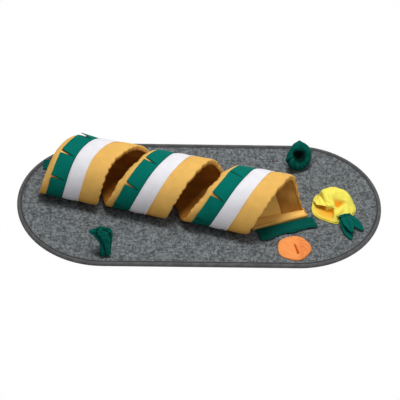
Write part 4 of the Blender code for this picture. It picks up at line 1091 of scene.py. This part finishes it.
def loop_piece(finish):
    """A gathered roll of cloth closed into a leaning ring with one pointed corner, and a dark sheet behind it as
    painted shade in its hole.
    """
    seat = np.array((*LOOP_PLACE, SEAT + LOOP_TUBE))
    up = np.array((0.0, sin(LOOP_LEAN), cos(LOOP_LEAN)))
    turn, around = grid(tau * np.arange(150) / 150, tau * np.arange(48) / 48)
    tube = LOOP_TUBE + 0.003 * (np.cos(turn) - 1) / 2 - 0.0070 * bump(turn, radians(226.0), 0.62)
    rise = (LOOP_RADIUS - LOOP_RADIUS * np.cos(turn)) * LOOP_HEIGHT
    centre = stack(LOOP_RADIUS * np.sin(turn), 0.0, 0.0) + up * rise[..., None]
    away = stack(np.sin(turn), 0.0, 0.0) - up * np.cos(turn)[..., None]
    forward = stack(np.cos(turn), 0.0, 0.0) + up * np.sin(turn)[..., None]
    away, forward = (way / np.linalg.norm(way, axis=-1, keepdims=True) for way in (away, forward))
    slack = 0.14 + 0.86 * smooth_step((np.cos(turn - radians(320.0)) + 0.2) / 0.9)
    gathers = np.abs(np.sin(5.5 * turn + 1.6 * around + 0.9 * np.sin(3 * turn))) ** 0.8
    fine = ripple(turn * 0.02, around * 0.012, 0.012, 81)
    folds = (0.34 * slack * (1 - gathers) + 0.06 * fine) * (0.25 + 0.75 * smooth_step(rise / LOOP_RADIUS))
    size = (tube * (1.04 - folds))[..., None]
    tip = bump(turn, radians(158.0), 0.16) * np.clip(np.cos(around), 0, 1) ** 3
    points = centre + (away * np.cos(around)[..., None] + np.cross(away, forward) * np.sin(around)[..., None]) * size
    points = turned(points + up * (0.0046 * tip)[..., None], LOOP_TURN) + seat
    points[..., 2] = np.maximum(points[..., 2], SEAT)
    # Painted shade in the gathers and on the ring's inner side
    hollow_shade = smooth_step((-np.cos(around) - 0.15) / 0.6)
    dark = np.maximum(np.clip((0.50 - gathers) * 2.2, 0, 0.9) * slack, 0.95 * hollow_shade)
    # A dark sheet across the hole: painted shade where only shadow shows through
    shade_web_share, shade_web_angle = grid(np.linspace(0.02, 1, 12), tau * np.arange(60) / 60)
    reach = (LOOP_RADIUS - 0.006) * shade_web_share
    flat_x, flat_up = reach * np.cos(shade_web_angle), LOOP_RADIUS * LOOP_HEIGHT + reach * np.sin(shade_web_angle)
    sag = 0.0060 * (1 - shade_web_share ** 2) + 0.0015 * ripple(flat_x, flat_up, 0.012, 83)
    behind = np.cross(np.array((1.0, 0.0, 0.0)), up)
    shade_web = stack(flat_x, 0.0, 0.0) + up * flat_up[..., None] - behind * sag[..., None]
    shade_web = turned(np.concatenate([shade_web, shade_web[::-1] - behind * 0.0012]), LOOP_TURN) + seat
    faces = (grid_faces(*turn.shape, around=True, ring=True)
             + grid_faces(*shade_web.shape[:2], around=True, capped=True, base=turn.size))
    flat = np.concatenate([stack(turn * LOOP_RADIUS, around * tube).reshape(-1, 2), shade_web.reshape(-1, 3)[:, :2]])
    return new_piece("gathered_loop", np.concatenate([points.reshape(-1, 3), shade_web.reshape(-1, 3)]), faces, finish,
                     flat=flat, numbers={"seam": np.concatenate([dark.ravel(), np.ones(shade_web[..., 0].size)])},
                     outward=True)


# Settings

def colour_setting(label, text, default):
    return bpy.props.FloatVectorProperty(name=label, description=text, default=default, size=3, min=0.0, max=1.0,
                                         subtype="COLOR")


def length_setting(label, text, default):
    return bpy.props.FloatProperty(name=label, description=text, default=default, min=0.0, unit="LENGTH")


class MatSettings(bpy.types.PropertyGroup):
    felt_colour: colour_setting("Felt", "Colour of the felt", (0.128, 0.140, 0.145))
    binding_colour: colour_setting("Binding", "Colour of the edge tape", (0.100, 0.101, 0.104))
    thread_colour: colour_setting("Thread", "Colour of the binding's stitches", (0.030, 0.030, 0.032))
    felt_unevenness: length_setting("Felt unevenness", "Depth of the felt's hollows", 0.0005)
    stitch_length: length_setting("Stitch length", "Length of one stitch on the binding", 0.0034)


class TunnelSettings(bpy.types.PropertyGroup):
    mustard_colour: colour_setting("Mustard", "Colour of the two edge bands", (0.84, 0.49, 0.125))
    # Painted shade colour of the edge bands in their folds and at the foot
    mustard_deep_colour: colour_setting("Deep mustard", "Colour of the edge bands in folds and at the foot",
                                        (0.46, 0.19, 0.022))
    green_colour: colour_setting("Green", "Colour of the slit band and the tabs", (0.0, 0.158, 0.122))
    white_colour: colour_setting("White", "Colour of the middle band", (0.84, 0.83, 0.87))
    # Painted shade colour: the lining cloth is close to the mustard and looks this deep brown in the shade of the turns
    lining_colour: colour_setting("Lining", "Colour of the cloth inside", (0.40, 0.150, 0.018))
    mustard_crown: length_setting("Mustard fullness", "How far the wide band stands up", 0.0030)
    white_crown: length_setting("White fullness", "How far the middle band stands up", 0.0024)
    green_crown: length_setting("Green fullness", "How far the slit band stands up", 0.0014)
    flap_lift: length_setting("Flap lift", "How far the corners beside the slits rise", 0.0030)


class ToySettings(bpy.types.PropertyGroup):
    yellow_colour: colour_setting("Yellow", "Colour of the pouch", (1.0, 0.86, 0.13))
    # Painted shade colour deep in the pouch's folds and pocket
    pocket_colour: colour_setting("Pocket", "Colour deep in the pouch's folds", (0.80, 0.27, 0.004))
    orange_colour: colour_setting("Orange", "Colour of the round pocket", (1.0, 0.35, 0.10))
    # Painted shade colour in the round pocket's slit and between its puckers
    slit_shade_colour: colour_setting("Slit", "Colour inside the round pocket's slit", (0.55, 0.06, 0.01))
    strip_colour: colour_setting("Strips", "Colour of the leaves and standing strips", (0.0, 0.096, 0.074))


class StageSettings(bpy.types.PropertyGroup):
    floor_colour: colour_setting("Floor", "Colour of the floor", (0.92, 0.92, 0.92))
    key_power: bpy.props.FloatProperty(name="Key light", description="Power of the lamp above and behind in watts",
                                       default=73.0, min=0.0)
    fill_power: bpy.props.FloatProperty(name="Fill light", description="Power of the lamp at the front right in watts",
                                        default=8.0, min=0.0)
    sky_strength: bpy.props.FloatProperty(name="Sky", description="Strength of the even light from all round",
                                          default=0.235, min=0.0)


# Operators

class DressMat(bpy.types.Operator):
    """Lay the felt, fold the binding tape over the edge and sew it"""
    bl_idname = "play_mat.dress_mat"
    bl_label = "Mat"

    def execute(self, context):
        given = context.scene.play_mat
        felt = surface("felt", given.felt_colour, 0.95, felt_build, sheen=0.15, strength=0.5, distance=0.0012)
        tape = surface("binding_tape", given.binding_colour, 0.85, tape_build, sheen=0.1, strength=0.35,
                       distance=0.0005)
        hooks = surface("hook_tape", (0.03, 0.03, 0.03), 0.6, hook_build)
        for node, finish in (("mat_padding", cloth("mat_wadding", WADDING_COLOUR, where="Object")),
                             ("anti_slip_backing", surface("dotted_rubber", (0.10, 0.10, 0.11), 0.7, dotted_build)),
                             ("right_tab_hook_tape", hooks),
                             ("left_tab_hook_tape", bpy.data.materials["hook_tape"])):
            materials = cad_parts[node].data.materials
            materials.clear()
            materials.append(finish)
        sheet = dress(felt_piece(given, felt), "mat", "felt", "felt_top")
        band = dress(binding_piece(tape), "mat", "binding", "edge_binding")
        thread = cloth("binding_thread", given.thread_colour, where="Object")
        sew("binding_stitches", outline(0.0108, 0.0101), "mat", "binding", thread, pitch=given.stitch_length * 1.35,
            length=given.stitch_length, width=0.0011, closed=True)
        return {"FINISHED"}


class DressTunnel(bpy.types.Operator):
    """Sew the tunnel's padded ribbon: filling, lining, four bands, piping and hem stitches"""
    bl_idname = "play_mat.dress_tunnel"
    bl_label = "Tunnel"

    def execute(self, context):
        given = context.scene.play_mat_tunnel
        # The mustard's deep tone is painted shade in folds and at the foot
        mustard = cloth("mustard_cloth", given.mustard_colour, accent=tuple(given.mustard_deep_colour))
        green = cloth("green_cloth", given.green_colour, dark=0.25)
        white = cloth("white_cloth", given.white_colour, dark=0.62, nap=0.03)
        # The lining's base colour is painted shade, and its lighter mustard tone is painted light
        lining = cloth("lining_cloth", given.lining_colour, accent=shade(given.mustard_colour, 1.22), nap=0.12)
        filling = dress(filling_piece(cloth("wadding", WADDING_COLOUR)), "tunnel", "wadding", "tunnel_padding")
        left_path = [(0.0004, LINING_OUT - 0.0008), (0.0, 0.006), (0.0002, HEM), (HEM * 0.35, 0.0007), (HEM, 0.0),
                     (LEFT_SEAM - 0.0012, 0.0002), (LEFT_SEAM - 0.0002, 0.0013), (GREEN_SEAM - 0.002, 0.0016)]
        white_path = [(GREEN_SEAM + BAND_GAP, 0.0), (WHITE_SEAM - 0.0003, 0.0)]
        # Each band with its crown, pucker depth and length, slack, seed and cloth, then its thickness, slot and node
        for band, sewing, thickness, slot, node, width in (
                (lining_piece(), (0.0046, 0.0010, 0.012, 0.0042, 4.0, lining), CLOTH, "lining", "tunnel_lining",
                 RIBBON_WIDTH),
                (band_piece("left_edge_cloth", left_path, 34), (0.0, 0.0003, 0.010, 0.0004, 9.0, mustard), 0.0007,
                 "mustard", "left_edge_band", GREEN_SEAM + 0.010),
                (green_piece(given.flap_lift), (given.green_crown, 0.0007, 0.013, 0.0005, 2.0, green), 0.0011,
                 "green", "green_band", GREEN_SEAM - LEFT_SEAM),
                (band_piece("white_band_cloth", white_path, 22, 0.12),
                 (given.white_crown, 0.0005, 0.016, 0.0007, 3.0, white), 0.0012, "white", "white_band",
                 WHITE_SEAM - GREEN_SEAM),
                (wide_piece(), (given.mustard_crown, 0.0009, 0.0085, 0.0009, 5.0, mustard), 0.0009, "mustard",
                 "mustard_band", RIBBON_WIDTH - WHITE_SEAM + 0.022)):
            dress(thicken(run_group(band, "sewn_cloth", *sewing), thickness), "tunnel", slot, node)
        arcs = np.linspace(START_ARC + 0.002, END_ARC - 0.002, 520)
        points, height, outward = layer(arcs, WHITE_SEAM)
        fade = smooth_step((height - 0.001) / 0.012)
        seat = to_mat(points + outward * (0.0012 * fade - 0.0014 * (1 - fade))[:, None])
        piping = cloth("piping_cloth", (0.93, 0.86, 0.84), where="Object", nap=0.03)
        dress(run_group(line_piece("white_band_piping", seat), "piping", PIPING_RADIUS, piping), "tunnel", "white")
        thread = cloth("mustard_thread", shade(given.mustard_colour, 0.50), where="Object")
        points, height, outward = layer(arcs, RIBBON_WIDTH - 0.0062)
        hem_line = to_mat(points + outward * 0.0012)
        for index, (low, high) in enumerate(runs_of(height > 0.012)):
            sew(f"hem_stitches_{index + 1}", hem_line[low:high], "tunnel", "mustard", thread, pitch=HEM_PITCH,
                length=0.0030, width=0.0008)
        for name, arc, way in (("panel_end_cloth", END_ARC, 1.0), ("start_end_cloth", START_ARC, -1.0)):
            end = dress(end_piece(name, arc, way, mustard), "tunnel", "mustard")
        return {"FINISHED"}


def runs_of(mask):
    """The stretches of places where a mask holds."""
    edges = np.flatnonzero(np.diff(np.concatenate([[0], mask.astype(int), [0]])))
    return [(low, high) for low, high in zip(edges[::2], edges[1::2]) if high - low > 3]


class DressTabs(bpy.types.Operator):
    """Cut and hem the two green end tabs"""
    bl_idname = "play_mat.dress_tabs"
    bl_label = "Tabs"

    def execute(self, context):
        colour = context.scene.play_mat_tunnel.green_colour
        green = cloth("tab_cloth", shade(colour, 0.52), dark=0.4)
        thread = cloth("green_thread", shade(colour, 0.3), where="Object")
        for side, place, size, seed, way in zip(("right", "left"), tab_frames(), (RIGHT_TAB, LEFT_TAB), (91, 95),
                                                (1.0, -1.0)):
            tab, hem = tab_piece(f"{side}_tab_cloth", place, size, seed, green, way)
            dress(tab, f"{side}_tab", "green", f"{side}_end_tab")
            sew(f"{side}_tab_stitches", hem, f"{side}_tab", "green", thread, pitch=HEM_PITCH, length=0.0032,
                width=0.0008)
        return {"FINISHED"}


class DressPouch(bpy.types.Operator):
    """Stuff the yellow pouch, fold its flap and set its leaves"""
    bl_idname = "play_mat.dress_pouch"
    bl_label = "Yellow pouch and leaves"

    def execute(self, context):
        given = context.scene.play_mat_toys
        yellow = cloth("yellow_cloth", given.yellow_colour, where="Object", accent=tuple(given.pocket_colour), nap=0.05)
        leaf = cloth("leaf_cloth", shade(given.strip_colour, 1.2), dark=0.3)

        def lip(x, y):
            share = np.hypot(x, y) / POUCH_RADIUS
            return POUCH_BASE - 0.0004 + 0.0030 * smooth_step((share - 0.94) / 0.06) * pocket_share(x, y)

        base = disc_piece("pouch_base_cloth", POUCH_PLACE, lambda angle: pouch_outline(angle) * 1.03, lip, 0.0, yellow)
        dress(base, "mat", "yellow", "yellow_pouch_base")
        dome = disc_piece("pouch_dome", POUCH_PLACE, pouch_outline, pouch_top, POUCH_BASE + TOP_GAP, yellow, rings=30,
                          sides=120)

        def held(points):
            x, y, height = from_place(points, POUCH_PLACE)
            return (height < POUCH_BASE + 0.0035) | (dimple_share(x, y) > 0.82) | (pocket_share(x, y) > 0.5)

        swell(dome, voxel=0.0024, pressure=3.0, cap=0.0030, held=held)
        points = mesh_points(dome.data)
        points[:, 2] = np.maximum(points[:, 2], SEAT + POUCH_BASE + 0.0002)
        move_points(dome.data, points)
        x, y, _ = from_place(points, POUCH_PLACE)
        # Painted shade in the dimple, inside the pocket and down its wall
        pocket, out = pocket_share(x, y), np.hypot(x, y) - POUCH_CORE
        deep = np.clip(1.25 * dimple_share(x, y) - 0.30, 0, 0.95)
        low = pocket * np.clip(1.0 - out / 0.052, 0.12, 1.0)
        wall = close_to(np.abs(out), 0.006) * (pocket > 0.02)
        set_numbers(dome.data, "seam", np.clip(np.maximum(deep, np.maximum(low, wall)), 0, 1))
        dress(dome, "mat", "yellow", "yellow_pouch_top")
        flap = dress(flap_piece(yellow), "pouch_flap", "yellow", "yellow_pouch_flap")
        for place, shape, seed, body, cuff, keel in (("lower", LOWER_LEAF, 101, "lower_leaves", 0.0, 0.0026),
                                                     ("right", RIGHT_LEAF, 102, "lower_leaves", 0.0, 0.0026),
                                                     ("middle", MIDDLE_LEAF, 103, "upper_leaf", 0.75, 0.0048)):
            item = leaf_piece(f"{place}_leaf_cloth", shape, seed, leaf, keel, cuff)
            dress(item, body, "green", f"leaf_{place}")
        return {"FINISHED"}


class DressOrange(bpy.types.Operator):
    """Sew the round orange pocket with its slit"""
    bl_idname = "play_mat.dress_orange"
    bl_label = "Orange pocket"

    def execute(self, context):
        given = context.scene.play_mat_toys
        orange = cloth("orange_cloth", given.orange_colour, where="Object", accent=tuple(given.slit_shade_colour), nap=0.06)
        base = disc_piece("orange_base_cloth", ORANGE_PLACE, orange_outline, lambda x, y: np.full_like(x, ORANGE_BASE),
                          0.0, orange)
        dress(base, "mat", "orange", "orange_pocket_base")
        top = disc_piece("orange_pocket_cloth", ORANGE_PLACE, orange_outline, orange_top, ORANGE_BASE + TOP_GAP, orange,
                         rings=34, sides=120)

        def held(points):
            x, y, height = from_place(points, ORANGE_PLACE)
            return (height < ORANGE_BASE + 0.0012) | (slot_share(x, y) > 0.3)

        swell(top, voxel=0.0016, pressure=2.0, cap=0.0012, held=held)
        x, y, _ = from_place(mesh_points(top.data), ORANGE_PLACE)
        # Painted shade in the slit and in the troughs between the puckers on the right
        rays = np.clip(-np.cos(11 * np.arctan2(y, x) + 9 * np.hypot(x, y) / ORANGE_RADIUS), 0, 1)
        pucker_shade = smooth_step((x - 0.006) / 0.012) * (0.12 + 0.20 * rays)
        set_numbers(top.data, "seam", np.clip(np.maximum(slot_share(x, y) * 1.1, pucker_shade), 0, 1))
        dress(top, "mat", "orange", "orange_pocket_top")
        return {"FINISHED"}


class DressStrips(bpy.types.Operator):
    """Twist the front strip and gather the back loop"""
    bl_idname = "play_mat.dress_strips"
    bl_label = "Standing strips"

    def execute(self, context):
        strip = cloth("strip_cloth", tuple(context.scene.play_mat_toys.strip_colour), dark=0.12)
        knot = dress(knot_piece(strip), "knot", "green", "front_left_knot")
        loop = dress(loop_piece(strip), "loop", "green", "back_right_loop")
        return {"FINISHED"}


class BuildStage(bpy.types.Operator):
    """Set the pale floor, the soft lamps, the even sky and the camera"""
    bl_idname = "play_mat.build_stage"
    bl_label = "Stage"

    def execute(self, context):
        scene, given = context.scene, context.scene.play_mat_stage
        scene.view_settings.view_transform = "Standard"
        self.floor(given)
        self.sky(scene, given)
        for (name, place, size), power in zip(LAMPS, (given.key_power, given.fill_power)):
            lamp = bpy.data.lights.new(name, "AREA")
            lamp.shape, lamp.size, lamp.energy = "DISK", size, power
            turn = (-Vector(place)).to_track_quat("-Z", "Y").to_matrix().to_4x4()
            link(name, lamp).matrix_world = Matrix.Translation(place) @ turn
        self.camera(scene)
        return {"FINISHED"}

    @staticmethod
    def floor(given):
        """A wide pale floor that the camera sees as almost white."""
        finish = bpy.data.materials.new("pale_floor")
        finish.use_nodes = True
        tree, nodes = Tree(finish.node_tree), finish.node_tree.nodes
        nodes.remove(nodes["Principled BSDF"])
        matt = tree.add("ShaderNodeBsdfDiffuse", None, (*given.floor_colour, 1.0))
        glow = tree.add("ShaderNodeEmission", None, WHITE, 1.0)
        seen = tree.add("ShaderNodeLightPath", out="Is Camera Ray") * 0.97
        tree.fill(nodes["Material Output"], {"Surface": tree.add("ShaderNodeMixShader", None, seen, matt, glow)})
        corners = [(x * FLOOR_HALF, y * FLOOR_HALF, FLOOR_HEIGHT) for x, y in ((-1, -1), (1, -1), (1, 1), (-1, 1))]
        new_piece("floor", corners, [(0, 1, 2, 3)], finish)

    @staticmethod
    def sky(scene, given):
        """An even light from all round, white to the camera."""
        scene.world = bpy.data.worlds.new("even_sky")
        scene.world.use_nodes = True
        tree = Tree(scene.world.node_tree)
        tree.tree.nodes.clear()
        camera, glossy, through = (tree.add("ShaderNodeLightPath", out=f"Is {name} Ray")
                                   for name in ("Camera", "Glossy", "Transmission"))
        strength = camera.highest(glossy).highest(through) * (1.0 - given.sky_strength) + given.sky_strength
        tree.add("ShaderNodeOutputWorld", Surface=tree.add("ShaderNodeBackground", None, WHITE, strength))

    @staticmethod
    def camera(scene):
        """The photograph's view: a long lens from the front, high up."""
        azimuth, height, roll = (radians(angle) for angle in CAMERA_ANGLES)
        back = Vector((sin(azimuth) * cos(height), -cos(azimuth) * cos(height), sin(height)))
        right = (-back).cross(Vector((0, 0, 1))).normalized()
        up = right.cross(-back)
        level = Matrix((right * cos(roll) + up * sin(roll), -right * sin(roll) + up * cos(roll), back)).transposed()
        lens = bpy.data.cameras.new("camera")
        lens.sensor_width = SENSOR_WIDTH
        lens.lens = LENS_SHARE * SENSOR_WIDTH
        lens.clip_end = 100.0
        scene.camera = link("camera", lens)
        scene.camera.matrix_world = Matrix.Translation(Vector(CAMERA_TARGET) + back * CAMERA_DISTANCE) @ level.to_4x4()


class PlayMatPanel(bpy.types.Panel):
    """Lists the dressing steps and their settings"""
    bl_idname = "VIEW3D_PT_play_mat"
    bl_label = "Play Mat"
    bl_space_type = "VIEW_3D"
    bl_region_type = "UI"
    bl_category = "Play Mat"

    def draw(self, context):
        for step in STEPS:
            self.layout.operator(step.bl_idname)
        for key, kind in SETTINGS.items():
            column = self.layout.column()
            for name in kind.__annotations__:
                column.prop(getattr(context.scene, key), name)


STEPS = (DressMat, DressTunnel, DressTabs, DressPouch, DressOrange, DressStrips, BuildStage)
SETTINGS = {"play_mat": MatSettings, "play_mat_tunnel": TunnelSettings, "play_mat_toys": ToySettings,
            "play_mat_stage": StageSettings}


def register():
    for kind in (*SETTINGS.values(), *STEPS, PlayMatPanel):
        bpy.utils.register_class(kind)
    for key, kind in SETTINGS.items():
        setattr(bpy.types.Scene, key, bpy.props.PointerProperty(type=kind))


def unregister():
    for key in SETTINGS:
        delattr(bpy.types.Scene, key)
    for kind in (PlayMatPanel, *reversed(STEPS), *reversed(SETTINGS.values())):
        bpy.utils.unregister_class(kind)


def main():
    register()
    for step in STEPS:
        family, name = step.bl_idname.split(".")
        getattr(getattr(bpy.ops, family), name)()


if __name__ == "__main__":
    main()
